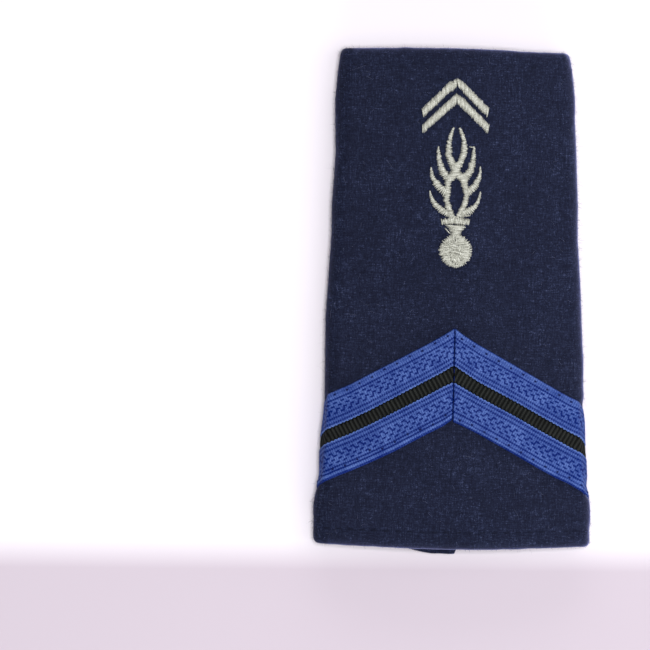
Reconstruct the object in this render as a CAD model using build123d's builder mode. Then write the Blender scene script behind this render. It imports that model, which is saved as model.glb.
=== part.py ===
from build123d import *
import math
import os
from collections import namedtuple

# A shoulder rank slide: a tapered tube of felted wool cloth that lies on its back, with a mitred braid
# wrapped round it and an embroidered emblem on its front. All sizes are in millimetres.
# The origin is on the table under the middle of the slide, +Y points to the narrow end, +Z to the front.

os.makedirs("parts", exist_ok=True)

# Sleeve
sleeve_length = 100.0
wide_end_width = 55.2
narrow_end_width = 46.0
wide_end_crown = 10.2
narrow_end_crown = 9.8
cloth_thickness = 1.3
crease_radius = 0.4
fold_lift = 1.9
rest_half_width = 12.0

# Turned-in hems
hem_depth = 8.0
hem_layer = 0.9
hem_roll_share = 0.42
hem_stitch_inset = 3.4
hem_stitch_depth = 0.3
hem_stitch_width = 1.4

# Ends that are not quite straight: how far their corners fall back from their middle
wide_left_drop = 0.85
wide_right_drop = 0.65
narrow_left_drop = 0.15
narrow_right_drop = 0.95

# Lapped seam down the middle of the back, whose outer layer shows past the wide end
lap_edge_x = 0.82
lap_reach = 0.8
lap_tongue_width = 11.6
lap_belly_run = 3.9
lap_belly_rise = 0.2
lap_step_depth = 0.5
lap_step_run = 2.0

# Braid: blue band, black stripe, blue band
braid_apex_height = 43.8
mitre_x = 0.17
left_leg_angle = 27.4
right_leg_angle = 29.3
outer_band_width = 6.5
black_stripe_width = 2.55
inner_band_width = 6.7
band_thickness = 0.95
stripe_thickness = 0.75
band_bevel = 0.25
braid_seat_gap = 0.15
band_gap = 0.08
mitre_gap = 0.12
braid_back_reach = 1.6
dent_run = 1.4

# Embroidery
emblem_x = 0.27
relief = 0.6
relief_gap = 0.1
thread_gap = 0.12
chevron_apex_inset = 5.75
chevron_blunt = 0.35
chevron_pitch = 3.3
chevron_half_width = 6.75
chevron_band = 1.45
chevron_angle = 43.8
flame_top_inset = 15.9
flame_height = 18.0
flame_half_width = 5.2
collar_width = 5.8
collar_height = 1.4
neck_top_width = 4.0
neck_foot_width = 2.2
neck_height = 1.8
ball_radius = 3.25
ball_relief = 1.0
ball_edge_radius = 0.5

# Flat steps that the braid takes over the front and round a side fold, and the steps in which the
# height of a point on it settles
front_steps = 6
fold_steps = 7
settle_steps = 6

# Sections of the sleeve from the wide end to the narrow end. along is a share of the length, and taper
# is the share of the narrowing reached there.
Section = namedtuple("Section", "along taper")
SECTIONS = [
    Section(along=0.00, taper=0.000),
    Section(along=0.08, taper=0.010),
    Section(along=0.14, taper=0.175),
    Section(along=0.25, taper=0.310),
    Section(along=0.36, taper=0.400),
    Section(along=0.46, taper=0.450),
    Section(along=0.62, taper=0.640),
    Section(along=0.86, taper=0.795),
    Section(along=0.97, taper=0.985),
    Section(along=1.00, taper=1.000),
]

# Side tongues of the flame, from the top down. Each is a horn between an outer and an inner curve that
# share a tip. Sideways values are shares of flame_half_width, heights are shares of flame_height.
Tongue = namedtuple("Tongue", "tip outer_middle outer_root inner_middle inner_root")
TONGUES = [
    Tongue((0.68, 0.785), (0.72, 0.610), (0.47, 0.410), (0.53, 0.625), (0.20, 0.475)),
    Tongue((0.95, 0.553), (0.89, 0.360), (0.49, 0.232), (0.74, 0.430), (0.47, 0.343)),
    Tongue((1.00, 0.300), (0.85, 0.133), (0.30, 0.000), (0.757, 0.160), (0.40, 0.100)),
]

# One of the two crossing tongues at the top of the flame, in the same shares and columns
CROSSING_TONGUE = Tongue((0.10, 1.000), (0.41, 0.740), (0.04, 0.470), (0.21, 0.780), (-0.06, 0.580))

# The almond under them and its hollow, whose widest points are at middle
Almond = namedtuple("Almond", "top middle foot half_width")
ALMOND = Almond(top=0.50, middle=0.30, foot=0.00, half_width=0.43)
ALMOND_HOLLOW = Almond(top=0.43, middle=0.26, foot=0.05, half_width=0.26)

# Sizes and places that follow from the ones above
hem_wall = cloth_thickness + hem_layer
hem_roll_radius = hem_roll_share * hem_wall
fold_radius = hem_wall + crease_radius
fold_height = fold_radius + fold_lift
wide_end_y = (lap_reach - sleeve_length) / 2
narrow_end_y = wide_end_y + sleeve_length
widest = max(wide_end_width, narrow_end_width)
tallest = max(wide_end_crown, narrow_end_crown)

braid_width = outer_band_width + black_stripe_width + inner_band_width
braid_apex_y = wide_end_y + braid_apex_height
low_angle = math.radians(min(left_leg_angle, right_leg_angle))
steep_angle = math.radians(max(left_leg_angle, right_leg_angle))
mean_leg_angle = math.radians(left_leg_angle + right_leg_angle) / 2
mitre_tilt = math.radians(right_leg_angle - left_leg_angle) / 2
braid_dent = band_thickness + braid_seat_gap

# Round the front to a fold's outermost line is a little further than half the width
fold_detour = (math.pi / 2 - 1) * fold_radius - braid_dent
dent_high_reach = (wide_end_width + narrow_end_width) / 4 + fold_detour
dent_low_reach = widest / 2 + fold_detour
dent_high_y = braid_apex_y - dent_high_reach * math.tan(low_angle)
dent_low_y = braid_apex_y - dent_low_reach * math.tan(steep_angle) - braid_width / math.cos(steep_angle)

chevron_apex_y = narrow_end_y - chevron_apex_inset
flame_foot_y = narrow_end_y - flame_top_inset - flame_height
collar_top_y = flame_foot_y - thread_gap
neck_top_y = collar_top_y - collar_height - thread_gap
neck_foot_y = neck_top_y - neck_height
ball_y = neck_foot_y - thread_gap - ball_radius

Leg = namedtuple("Leg", "name side angle")
LEGS = [
    Leg("left", -1, math.radians(left_leg_angle)),
    Leg("right", 1, math.radians(right_leg_angle)),
]
Outline = namedtuple(
    "Outline",
    "front_centre front_radius front_turn fold_centre fold_end under_centre under_radius",
)


def taper_at(along):
    """Share of the narrowing reached at any share of the sleeve's length."""
    for before, after in zip(SECTIONS, SECTIONS[1:]):
        if along <= after.along:
            break
    step = (along - before.along) / (after.along - before.along)
    return (1 - step) * before.taper + step * after.taper


def dent_at(y):
    """How far the tight braid presses a side fold in: all of it beside the braid, less beyond its edges."""
    beyond = max(dent_low_y - y, y - dent_high_y, 0)
    return braid_dent * max(0, 1 - beyond / dent_run)


def outline_at(y):
    """Front, fold and underside arcs of the cloth's outer outline, each tangent to the next."""
    along = (y - wide_end_y) / sleeve_length
    width = wide_end_width + (narrow_end_width - wide_end_width) * taper_at(along)
    crown = wide_end_crown + (narrow_end_crown - wide_end_crown) * along
    fold_x = width / 2 - dent_at(y) - fold_radius
    rise = crown - fold_height
    front_radius = (fold_x**2 + rise**2 - fold_radius**2) / (2 * (rise - fold_radius))
    under_run = fold_x - rest_half_width
    under_radius = (under_run**2 + fold_height**2 - fold_radius**2) / (2 * fold_lift)
    return Outline(
        front_centre=(0.0, crown - front_radius),
        front_radius=front_radius,
        front_turn=math.atan2(fold_x, fold_height - crown + front_radius),
        fold_centre=(fold_x, fold_height),
        fold_end=math.pi - math.atan2(under_run, under_radius - fold_height),
        under_centre=(rest_half_width, under_radius),
        under_radius=under_radius,
    )


def arc_point(centre, radius, turn):
    """Point on a circle in the X-Z plane, at a turn from straight up towards +X."""
    return (centre[0] + radius * math.sin(turn), centre[1] + radius * math.cos(turn))


def tube_section(y, inset):
    """Closed section of the tube at a place along it, set in from the cloth's outer face."""
    outline = outline_at(y)
    fold = fold_radius - inset
    top = arc_point(outline.front_centre, outline.front_radius - inset, 0)
    shoulder = arc_point(outline.fold_centre, fold, outline.front_turn)
    side = arc_point(outline.fold_centre, fold, (outline.front_turn + outline.fold_end) / 2)
    heel = arc_point(outline.fold_centre, fold, outline.fold_end)
    under_turn = (outline.fold_end + math.pi) / 2
    under = arc_point(outline.under_centre, outline.under_radius - inset, under_turn)
    toe = (rest_half_width, inset)
    left_shoulder, left_side, left_heel, left_under, left_toe = [
        (-x, z) for x, z in (shoulder, side, heel, under, toe)
    ]
    with BuildSketch(Plane.XZ.offset(-y)) as section:
        with BuildLine():
            ThreePointArc(left_shoulder, top, shoulder)
            ThreePointArc(shoulder, side, heel)
            ThreePointArc(heel, under, toe)
            Line(toe, left_toe)
            ThreePointArc(left_toe, left_under, left_heel)
            ThreePointArc(left_heel, left_side, left_shoulder)
        make_face()
    return section.sketch


def tube(inset, start_y, end_y, mode=Mode.ADD):
    """Loft the tube between two places, through the rows of SECTIONS and the corners of the dent."""
    rows = [wide_end_y + row.along * sleeve_length for row in SECTIONS]
    dent_corners = [dent_low_y - dent_run, dent_low_y, dent_high_y, dent_high_y + dent_run]
    between = [y for y in sorted(rows + dent_corners) if start_y < y < end_y]
    loft([tube_section(y, inset) for y in [start_y, *between, end_y]], ruled=True, mode=mode)


def hem_groove(y):
    """Ring that the hem's stitches pull in round the tube, deepest at y."""
    half = hem_stitch_width / 2
    with BuildPart() as groove:
        with BuildSketch(Plane.XZ.offset(-(y - half))):
            Rectangle(2 * widest, 3 * tallest)
        extrude(amount=-hem_stitch_width)
        waist = [tube_section(y - half, 0), tube_section(y, hem_stitch_depth), tube_section(y + half, 0)]
        loft(waist, ruled=True, mode=Mode.SUBTRACT)
    return groove.part


def finish(piece, name):
    """Label a finished piece and write it."""
    piece.part.label = name
    export_step(piece.part, f"parts/{name}.step")


# Sleeve: one strip of cloth made into a tube, with its ends turned in
with BuildPart() as sleeve:
    tube(0, wide_end_y, narrow_end_y)

    # The ends follow slightly bowed lines
    corner_margin = hem_roll_radius
    wide_corner = wide_end_width / 2 + corner_margin
    narrow_corner = narrow_end_width / 2 + corner_margin
    with BuildSketch():
        with BuildLine():
            wide_edge = ThreePointArc(
                (-wide_corner, wide_end_y + wide_left_drop),
                (0, wide_end_y),
                (wide_corner, wide_end_y + wide_right_drop),
            )
            narrow_edge = ThreePointArc(
                (narrow_corner, narrow_end_y - narrow_right_drop),
                (0, narrow_end_y),
                (-narrow_corner, narrow_end_y - narrow_left_drop),
            )
            Polyline(wide_edge @ 1, (widest, 0), narrow_edge @ 0)
            Polyline(narrow_edge @ 1, (-widest, 0), wide_edge @ 0)
        make_face()
    extrude(amount=2 * tallest, mode=Mode.INTERSECT)

    # The turned edge of each hem is round outside and in
    fillet(faces().sort_by(Axis.Y)[0].edges(), hem_roll_radius)
    fillet(faces().sort_by(Axis.Y)[-1].edges(), hem_roll_radius)
    tube(hem_wall, wide_end_y - corner_margin, narrow_end_y + corner_margin, Mode.SUBTRACT)
    for mouth in faces().filter_by(lambda face: len(face.inner_wires()) > 0):
        fillet(mouth.inner_wires()[0].edges(), hem_roll_radius)
    tube(cloth_thickness, wide_end_y + hem_depth, narrow_end_y - hem_depth, Mode.SUBTRACT)

    # Each hem's stitches pull the cloth in
    add(hem_groove(wide_end_y + hem_stitch_inset), mode=Mode.SUBTRACT)
    add(hem_groove(narrow_end_y - hem_stitch_inset), mode=Mode.SUBTRACT)

    # The outer layer of the back seam reaches past the wide end as a low tongue
    tongue_end_y = wide_end_y - lap_reach
    with BuildSketch():
        with BuildLine():
            tongue_start = (lap_edge_x - lap_tongue_width, wide_end_y + hem_roll_radius)
            tongue_middle = (lap_edge_x - lap_belly_run, tongue_end_y + lap_belly_rise)
            tongue_tip = (lap_edge_x, tongue_end_y)
            ThreePointArc(tongue_start, tongue_middle, tongue_tip)
            Polyline(tongue_tip, (lap_edge_x, wide_end_y + hem_roll_radius), tongue_start)
        make_face()
    extrude(amount=hem_wall)

    # Beside the edge of that layer the back steps up
    with BuildSketch(Plane.XZ.offset(-narrow_end_y - corner_margin)):
        Polygon(
            (lap_edge_x, -lap_step_depth),
            (lap_edge_x + lap_step_run, -lap_step_depth),
            (lap_edge_x + lap_step_run, 0),
            (lap_edge_x, lap_step_depth),
            align=None,
        )
    extrude(amount=sleeve_length + 2 * corner_margin + lap_reach, mode=Mode.SUBTRACT)
finish(sleeve, "sleeve")


def arc_at(outline, reach):
    """Centre, radius and turn of the outer outline at a distance along it from the crown."""
    front_length = outline.front_radius * outline.front_turn
    fold_length = fold_radius * (outline.fold_end - outline.front_turn)
    if reach <= front_length:
        return outline.front_centre, outline.front_radius, reach / outline.front_radius
    if reach <= front_length + fold_length:
        return outline.fold_centre, fold_radius, outline.front_turn + (reach - front_length) / fold_radius
    under_reach = reach - front_length - fold_length
    return outline.under_centre, outline.under_radius, outline.fold_end + under_reach / outline.under_radius


def station_reach(outline, station, start):
    """Distance from the crown of a station: 0 the mitre, 1 and 2 the ends of the fold, 3 the braid's end."""
    front_length = outline.front_radius * outline.front_turn
    fold_length = fold_radius * (outline.fold_end - outline.front_turn)
    if station <= 1:
        return start + (front_length - start) * station
    if station <= 2:
        return front_length + fold_length * (station - 1)
    return front_length + fold_length + braid_back_reach * (station - 2)


def edge_point(leg, across, station):
    """Point of a straight edge along the braid where it lies on the cloth, and its turn there."""
    mitre_at = mitre_x - across / math.cos(mean_leg_angle) * math.sin(mitre_tilt)
    start = leg.side * mitre_at + mitre_gap / 2
    reach = start
    for _ in range(settle_steps):
        run = reach - leg.side * mitre_x
        y = braid_apex_y - run * math.tan(leg.angle) - across / math.cos(leg.angle)
        outline = outline_at(y)
        reach = station_reach(outline, station, start)
    centre, radius, turn = arc_at(outline, reach)
    x, z = arc_point(centre, radius, turn)
    return Vector(leg.side * x, y, z), turn


def strip_section(leg, near, far, station, thickness):
    """Section across a strip of the braid, with its two upper corners bevelled."""
    near_point, near_turn = edge_point(leg, near, station)
    far_point, far_turn = edge_point(leg, far, station)
    turn = (near_turn + far_turn) / 2
    lift = Vector(leg.side * math.sin(turn), 0, math.cos(turn))
    along = far_point - near_point
    bevel = along.normalized() * band_bevel
    top = braid_seat_gap + thickness
    corners = [
        near_point + lift * braid_seat_gap,
        far_point + lift * braid_seat_gap,
        far_point + lift * (top - band_bevel),
        far_point + lift * top - bevel,
        near_point + lift * top + bevel,
        near_point + lift * (top - band_bevel),
    ]
    plane = Plane(origin=near_point, x_dir=along, z_dir=along.cross(lift))
    flat_corners = [plane.to_local_coords(corner) for corner in corners]
    with BuildSketch(plane) as section:
        Polygon(*[(corner.X, corner.Y) for corner in flat_corners], align=None)
    return section.sketch


# Braid: each leg is three strips side by side, from the mitre over the front and round the side fold
front_stations = [step / front_steps for step in range(front_steps)]
fold_stations = [1 + step / fold_steps for step in range(fold_steps + 1)]
stations = [*front_stations, *fold_stations, 3]
black_start = outer_band_width + band_gap / 2
black_end = outer_band_width + black_stripe_width - band_gap / 2
Strip = namedtuple("Strip", "name near far thickness")
STRIPS = [
    Strip("outer_band", 0, outer_band_width - band_gap / 2, band_thickness),
    Strip("black_stripe", black_start, black_end, stripe_thickness),
    Strip("inner_band", black_end + band_gap, braid_width, band_thickness),
]

for leg in LEGS:
    for strip in STRIPS:
        with BuildPart() as band:
            loft(
                [strip_section(leg, strip.near, strip.far, place, strip.thickness) for place in stations],
                ruled=True,
            )
        finish(band, f"{strip.name}_{leg.name}")


def raised_layer(height):
    """Layer of embroidery over the middle of the front, a small gap above the cloth."""
    low_y = ball_y - 2 * ball_radius
    high_y = narrow_end_y - hem_stitch_inset
    span = 2 * chevron_half_width + 2 * abs(emblem_x)
    with BuildPart() as layer:
        tube(-relief_gap - height, low_y, high_y)
        tube(-relief_gap, low_y, high_y, Mode.SUBTRACT)
        with BuildSketch(Plane.XY.offset(fold_height)):
            with Locations((0, (low_y + high_y) / 2)):
                Rectangle(span, high_y - low_y)
        extrude(amount=tallest + height, mode=Mode.INTERSECT)
    return layer.part


def emblem_point(share, side):
    """Place of a point of the flame, given as shares of its half width and height."""
    return (emblem_x + side * share[0] * flame_half_width, flame_foot_y + share[1] * flame_height)


def tongue_shape(tongue, side):
    """Outline of a tongue of the flame on one side."""
    tip, outer_middle, outer_root, inner_middle, inner_root = [emblem_point(p, side) for p in tongue]
    with BuildSketch() as shape:
        with BuildLine():
            ThreePointArc(tip, outer_middle, outer_root)
            Line(outer_root, inner_root)
            ThreePointArc(inner_root, inner_middle, tip)
        make_face()
    return shape.sketch


def almond_shape(almond):
    """Outline of an upright almond, pointed above and below."""
    top, foot = emblem_point((0, almond.top), 1), emblem_point((0, almond.foot), 1)
    with BuildSketch() as shape:
        with BuildLine():
            ThreePointArc(top, emblem_point((almond.half_width, almond.middle), 1), foot)
            ThreePointArc(foot, emblem_point((almond.half_width, almond.middle), -1), top)
        make_face()
    return shape.sketch


def embroider(shape, layer, name):
    """Cut a layer of embroidery to a shape."""
    with BuildPart() as piece:
        add(layer)
        extrude(shape, amount=2 * tallest, mode=Mode.INTERSECT)
    finish(piece, name)


# Two chevrons at the narrow end, each blunt at its top
thread_layer = raised_layer(relief)
leg_slope = math.tan(math.radians(chevron_angle))
band_height = chevron_band / math.cos(math.radians(chevron_angle))
blunt_half = chevron_blunt / leg_slope
for name, apex_y in [("upper_chevron", chevron_apex_y), ("lower_chevron", chevron_apex_y - chevron_pitch)]:
    with BuildSketch() as chevron:
        with Locations((emblem_x, apex_y)):
            Polygon(
                (-blunt_half, -chevron_blunt),
                (blunt_half, -chevron_blunt),
                (chevron_half_width, -chevron_half_width * leg_slope),
                (chevron_half_width, -chevron_half_width * leg_slope - band_height),
                (0, -band_height),
                (-chevron_half_width, -chevron_half_width * leg_slope - band_height),
                (-chevron_half_width, -chevron_half_width * leg_slope),
                align=None,
            )
    embroider(chevron.sketch, thread_layer, name)

# Flame: a core of two crossing tongues over an almond, and three side tongues on each side
with BuildSketch() as core:
    add(tongue_shape(CROSSING_TONGUE, -1))
    add(tongue_shape(CROSSING_TONGUE, 1))
    add(almond_shape(ALMOND))
    add(almond_shape(ALMOND_HOLLOW), mode=Mode.SUBTRACT)
embroider(core.sketch, thread_layer, "flame_core")

core_clearance = offset(almond_shape(ALMOND), amount=thread_gap, mode=Mode.PRIVATE)
for leg in LEGS:
    for row, tongue in enumerate(TONGUES, start=1):
        with BuildSketch() as side_tongue:
            add(tongue_shape(tongue, leg.side))
            add(core_clearance, mode=Mode.SUBTRACT)
        embroider(side_tongue.sketch, thread_layer, f"flame_tongue_{leg.name}_{row}")

# Grenade: a collar, a neck and a ball that is padded higher than the rest
with BuildSketch() as collar:
    with Locations((emblem_x, collar_top_y)):
        Rectangle(collar_width, collar_height, align=(Align.CENTER, Align.MAX))
embroider(collar.sketch, thread_layer, "grenade_collar")

with BuildSketch() as neck:
    with Locations((emblem_x, neck_top_y)):
        Polygon(
            (-neck_top_width / 2, 0),
            (-neck_foot_width / 2, -neck_height),
            (neck_foot_width / 2, -neck_height),
            (neck_top_width / 2, 0),
            align=None,
        )
embroider(neck.sketch, thread_layer, "grenade_neck")

with BuildPart() as ball:
    add(raised_layer(ball_relief))
    with BuildSketch():
        with Locations((emblem_x, ball_y)):
            Circle(ball_radius)
    extrude(amount=2 * tallest, mode=Mode.INTERSECT)
    fillet(faces().sort_by(Axis.Z)[-1].edges(), ball_edge_radius)
finish(ball, "grenade_ball")
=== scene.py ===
"""A shoulder rank slide: a flattened tube of felted wool with a mitred braid and an embroidered emblem.

Each sub-assembly is a class that models its pieces with bmesh in millimetres and dresses them. A finished
mesh is scaled to metres and stands in the frame of the solids that it replaces.
"""

import logging
import math
import random
from dataclasses import dataclass
from enum import Enum
from typing import Callable, NamedTuple, Sequence

import bmesh
import bpy
from bmesh.types import BMesh
from bpy.types import Material, Node, NodeSocket, NodeTree, Object
from mathutils import Matrix, Vector, noise


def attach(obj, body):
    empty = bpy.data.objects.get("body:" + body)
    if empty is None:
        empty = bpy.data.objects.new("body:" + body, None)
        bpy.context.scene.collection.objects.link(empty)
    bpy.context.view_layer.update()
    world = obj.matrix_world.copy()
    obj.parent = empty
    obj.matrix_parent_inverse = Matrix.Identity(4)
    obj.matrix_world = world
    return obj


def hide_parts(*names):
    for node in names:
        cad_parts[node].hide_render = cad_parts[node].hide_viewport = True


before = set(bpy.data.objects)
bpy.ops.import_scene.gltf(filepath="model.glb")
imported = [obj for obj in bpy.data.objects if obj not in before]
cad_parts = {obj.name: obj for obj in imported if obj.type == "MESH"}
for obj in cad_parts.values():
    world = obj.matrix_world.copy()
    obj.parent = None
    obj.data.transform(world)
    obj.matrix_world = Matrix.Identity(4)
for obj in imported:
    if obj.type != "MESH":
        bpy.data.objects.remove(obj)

LOG = logging.getLogger("rank_slide")
MM = 0.001
PHOTO_SIDE = 650


class Slot(Enum):
    """Finishes of the part, by the names of its record."""

    CLOTH = "wool_cloth"
    BLUE = "blue_braid"
    BLACK = "black_braid"
    THREAD = "silver_thread"


class Side(Enum):
    """The two halves of the slide, seen from the front."""

    LEFT = -1
    RIGHT = 1

    @property
    def label(self) -> str:
        """Name of the side in the names of pieces."""
        return self.name.lower()


def linear(hex_colour: str) -> tuple[float, float, float, float]:
    """Turn an sRGB colour into linear light.

    Args:
        hex_colour: The colour as #rrggbb.

    Returns:
        Red, green, blue and an alpha of one.
    """
    channels = [int(hex_colour[start : start + 2], 16) / 255 for start in (1, 3, 5)]
    light = [c / 12.92 if c <= 0.04045 else ((c + 0.055) / 1.055) ** 2.4 for c in channels]
    return (*light, 1.0)


def add_node(tree: NodeTree, kind: str, inputs: dict | None = None, **settings) -> Node:
    """Add a node with its settings, values and links.

    Args:
        tree: The material's node tree.
        kind: The node's type without its ShaderNode prefix.
        inputs: Values or sockets for the node's inputs, by name or number.
        **settings: The node's own properties.

    Returns:
        The new node.
    """
    node = tree.nodes.new(f"ShaderNode{kind}")
    for name, value in settings.items():
        setattr(node, name, value)
    for name, value in (inputs or {}).items():
        if isinstance(value, NodeSocket):
            tree.links.new(value, node.inputs[name])
        else:
            node.inputs[name].default_value = value
    return node


def add_noise(
    tree: NodeTree,
    place: NodeSocket,
    scale: float,
    detail: float,
    roughness: float = 0.5,
    distortion: float = 0.0,
) -> NodeSocket:
    """Add a noise pattern.

    Args:
        tree: The material's node tree.
        place: The socket that says where the pattern is read.
        scale: Figures of the pattern in one unit of that place.
        detail: Number of finer layers.
        roughness: Strength of the finer layers.
        distortion: How far the figures are drawn out.

    Returns:
        The pattern's factor.
    """
    inputs = {"Vector": place, "Scale": scale, "Detail": detail}
    inputs |= {"Roughness": roughness, "Distortion": distortion}
    return add_node(tree, "TexNoise", inputs).outputs["Fac"]


def add_weighted(tree: NodeTree, value: NodeSocket, weight: float, rest: NodeSocket) -> NodeSocket:
    """Add a weighted value to the rest."""
    return add_node(tree, "Math", {0: value, 1: weight, 2: rest}, operation="MULTIPLY_ADD").outputs[0]


def map_range(
    tree: NodeTree, value: NodeSocket, start: tuple[float, float], end: tuple[float, float] = (0.0, 1.0)
) -> NodeSocket:
    """Carry a value from one range over to another, held at its ends."""
    limits = {"From Min": start[0], "From Max": start[1], "To Min": end[0], "To Max": end[1]}
    return add_node(tree, "MapRange", {"Value": value, **limits}).outputs["Result"]


def add_twist(
    tree: NodeTree, pitch: float, distortion: float = 0.0, detail: float = 2.0
) -> tuple[NodeSocket, NodeSocket]:
    """Lay the slanting lines of a twist along a thread's own map.

    Args:
        tree: The material's node tree.
        pitch: Distance between the lines in millimetres.
        distortion: How uneven the lines are.
        detail: Number of finer layers of that unevenness.

    Returns:
        The map's vector and the twist's factor.
    """
    own = add_node(tree, "UVMap", uv_map="thread").outputs["UV"]
    lines = {"Vector": own, "Scale": 1 / pitch, "Distortion": distortion, "Detail": detail}
    return own, add_node(tree, "TexWave", lines, bands_direction="DIAGONAL").outputs["Fac"]


def colour_base(tree: NodeTree, shader: Node, factor: NodeSocket, stops: dict[float, str]) -> None:
    """Colour a shader's base by a factor.

    Args:
        tree: The material's node tree.
        shader: The shader to colour.
        factor: The socket that picks the place along the row of stops.
        stops: Colours by their place from 0 to 1.
    """
    ramp = add_node(tree, "ValToRGB", {"Fac": factor})
    elements = ramp.color_ramp.elements
    places = list(stops)
    elements[0].position, elements[1].position = places[0], places[-1]
    for place in places[1:-1]:
        elements.new(place)
    for element, colour in zip(elements, stops.values()):
        element.color = linear(colour)
    tree.links.new(ramp.outputs["Color"], shader.inputs["Base Color"])


def add_bump(tree: NodeTree, shader: Node, height: NodeSocket, strength: float, depth: float) -> None:
    """Give a shader the relief of a pattern, to a depth in millimetres."""
    bump = add_node(tree, "Bump", {"Height": height, "Strength": strength, "Distance": depth * MM})
    tree.links.new(bump.outputs["Normal"], shader.inputs["Normal"])


def new_material(name: str, roughness: float, specular: float) -> tuple[Material, Node]:
    """Make a material with its main shader.

    Args:
        name: The material's real name.
        roughness: How matt it is, from 0 to 1.
        specular: Strength of its reflections.

    Returns:
        The material and its Principled shader.
    """
    material = bpy.data.materials.new(name)
    material.use_nodes = True
    shader = material.node_tree.nodes["Principled BSDF"]
    shader.inputs["Roughness"].default_value = roughness
    shader.inputs["Specular IOR Level"].default_value = specular
    return material, shader


def bell(offset: float, width: float) -> float:
    """Smooth hump of height one around zero, which fades over a width."""
    return math.exp(-((offset / width) ** 2))


def smooth_step(value: float) -> float:
    """Ease from 0 to 1, flat outside."""
    value = min(1.0, max(0.0, value))
    return value * value * (3 - 2 * value)


def scatter(rng: random.Random) -> Vector:
    """Draw a vector that points anywhere, about one long in each direction."""
    return Vector([rng.gauss(0, 1) for _ in range(3)])


def read_chart(chart: Sequence[tuple[float, ...]], place: float) -> list[float]:
    """Read a chart between its rows, held at its ends.

    Args:
        chart: Rows in order of their first column.
        place: Where to read, in terms of the first column.

    Returns:
        The values of the other columns there.
    """
    place = min(chart[-1][0], max(chart[0][0], place))
    before, after = next(pair for pair in zip(chart, chart[1:]) if place <= pair[1][0])
    step = (place - before[0]) / (after[0] - before[0])
    return [a + (b - a) * step for a, b in zip(before[1:], after[1:])]


def finish_piece(
    bm: BMesh,
    name: str,
    slot: Slot,
    materials: list[Material],
    nodes: tuple[str, ...] = (),
) -> Object:
    """Turn a bmesh in millimetres into a finished object that rides with the part.

    Args:
        bm: The shape, which is freed.
        name: The piece's plain name.
        slot: The record's finish meant for the piece; not used.
        materials: The piece's materials, in the order of its face indices.
        nodes: Solids that the piece replaces.

    Returns:
        The finished object.
    """
    bmesh.ops.scale(bm, vec=(MM, MM, MM), verts=bm.verts)
    mesh = bpy.data.meshes.new(name)
    bm.to_mesh(mesh)
    bm.free()
    for material in materials:
        mesh.materials.append(material)
    mesh.shade_smooth()
    piece = bpy.data.objects.new(name, mesh)
    bpy.context.scene.collection.objects.link(piece)
    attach(piece, "root")
    if nodes:
        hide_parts(*nodes)
    LOG.info("%s: %d faces", name, len(mesh.polygons))
    return piece


def repeat_shape(
    template: BMesh, count: int, place: Callable[[int, Vector], Vector]
) -> BMesh:
    """Join many bent copies of one small shape.

    Args:
        template: The shape, which is freed.
        count: How many copies to make.
        place: Gives the new place of a template's point in a numbered copy.

    Returns:
        The copies in one bmesh.
    """
    mesh = bpy.data.meshes.new("template")
    template.to_mesh(mesh)
    template.free()
    points = [vert.co.copy() for vert in mesh.vertices]
    bm = bmesh.new()
    for _ in range(count):
        bm.from_mesh(mesh)
    bpy.data.meshes.remove(mesh)
    for index, vert in enumerate(bm.verts):
        copy, point = divmod(index, len(points))
        vert.co = place(copy, points[point])
    return bm


@dataclass(frozen=True)
class Section:
    """Outer outline of the tube across one place along it: front, fold and under arcs on each side."""

    crown: float
    front_radius: float
    fold_x: float
    fold_height: float
    fold_radius: float
    under_radius: float
    rest_half: float

    @property
    def front_turn(self) -> float:
        """Turn at which the front arc meets the fold."""
        return math.atan2(self.fold_x, self.fold_height - self.crown + self.front_radius)

    @property
    def fold_end(self) -> float:
        """Turn at which the fold meets the under arc."""
        return math.pi - math.atan2(self.fold_x - self.rest_half, self.under_radius - self.fold_height)

    @property
    def front_length(self) -> float:
        """Length of the front arc from the crown."""
        return self.front_radius * self.front_turn

    @property
    def fold_length(self) -> float:
        """Length of the fold's arc."""
        return self.fold_radius * (self.fold_end - self.front_turn)

    @property
    def half_girth(self) -> float:
        """Length of the outline from the crown to the middle of the back."""
        under_length = self.under_radius * (math.pi - self.fold_end)
        return self.front_length + self.fold_length + under_length + self.rest_half

    def point(self, reach: float, inset: float) -> tuple[float, float, float]:
        """Find a point by its distance from the crown along the outer outline.

        Args:
            reach: The distance, below zero on the other side of the crown.
            inset: Depth under the outer face.

        Returns:
            The point's distance from the middle, its height and its turn from straight up.
        """
        if reach <= self.front_length:
            turn = reach / self.front_radius
            radius = self.front_radius - inset
            return radius * math.sin(turn), self.crown - self.front_radius + radius * math.cos(turn), turn
        reach -= self.front_length
        if reach <= self.fold_length:
            turn = self.front_turn + reach / self.fold_radius
            radius = self.fold_radius - inset
            return self.fold_x + radius * math.sin(turn), self.fold_height + radius * math.cos(turn), turn
        reach -= self.fold_length
        turn = self.fold_end + reach / self.under_radius
        if turn <= math.pi:
            radius = self.under_radius - inset
            return self.rest_half + radius * math.sin(turn), self.under_radius + radius * math.cos(turn), turn
        past_arc = reach - self.under_radius * (math.pi - self.fold_end)
        return self.rest_half - past_arc, inset, math.pi


class TaperRow(NamedTuple):
    """Share of the narrowing reached at a share of the length."""

    along: float
    taper: float


TAPER = (
    TaperRow(0.00, 0.000),
    TaperRow(0.08, 0.010),
    TaperRow(0.14, 0.175),
    TaperRow(0.25, 0.310),
    TaperRow(0.36, 0.400),
    TaperRow(0.46, 0.450),
    TaperRow(0.62, 0.640),
    TaperRow(0.86, 0.795),
    TaperRow(0.97, 0.985),
    TaperRow(1.00, 1.000),
)


class FoldRow(NamedTuple):
    """How far each side fold stands proud of the even narrowing at a place along the slide."""

    y: float
    left: float
    right: float


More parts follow.
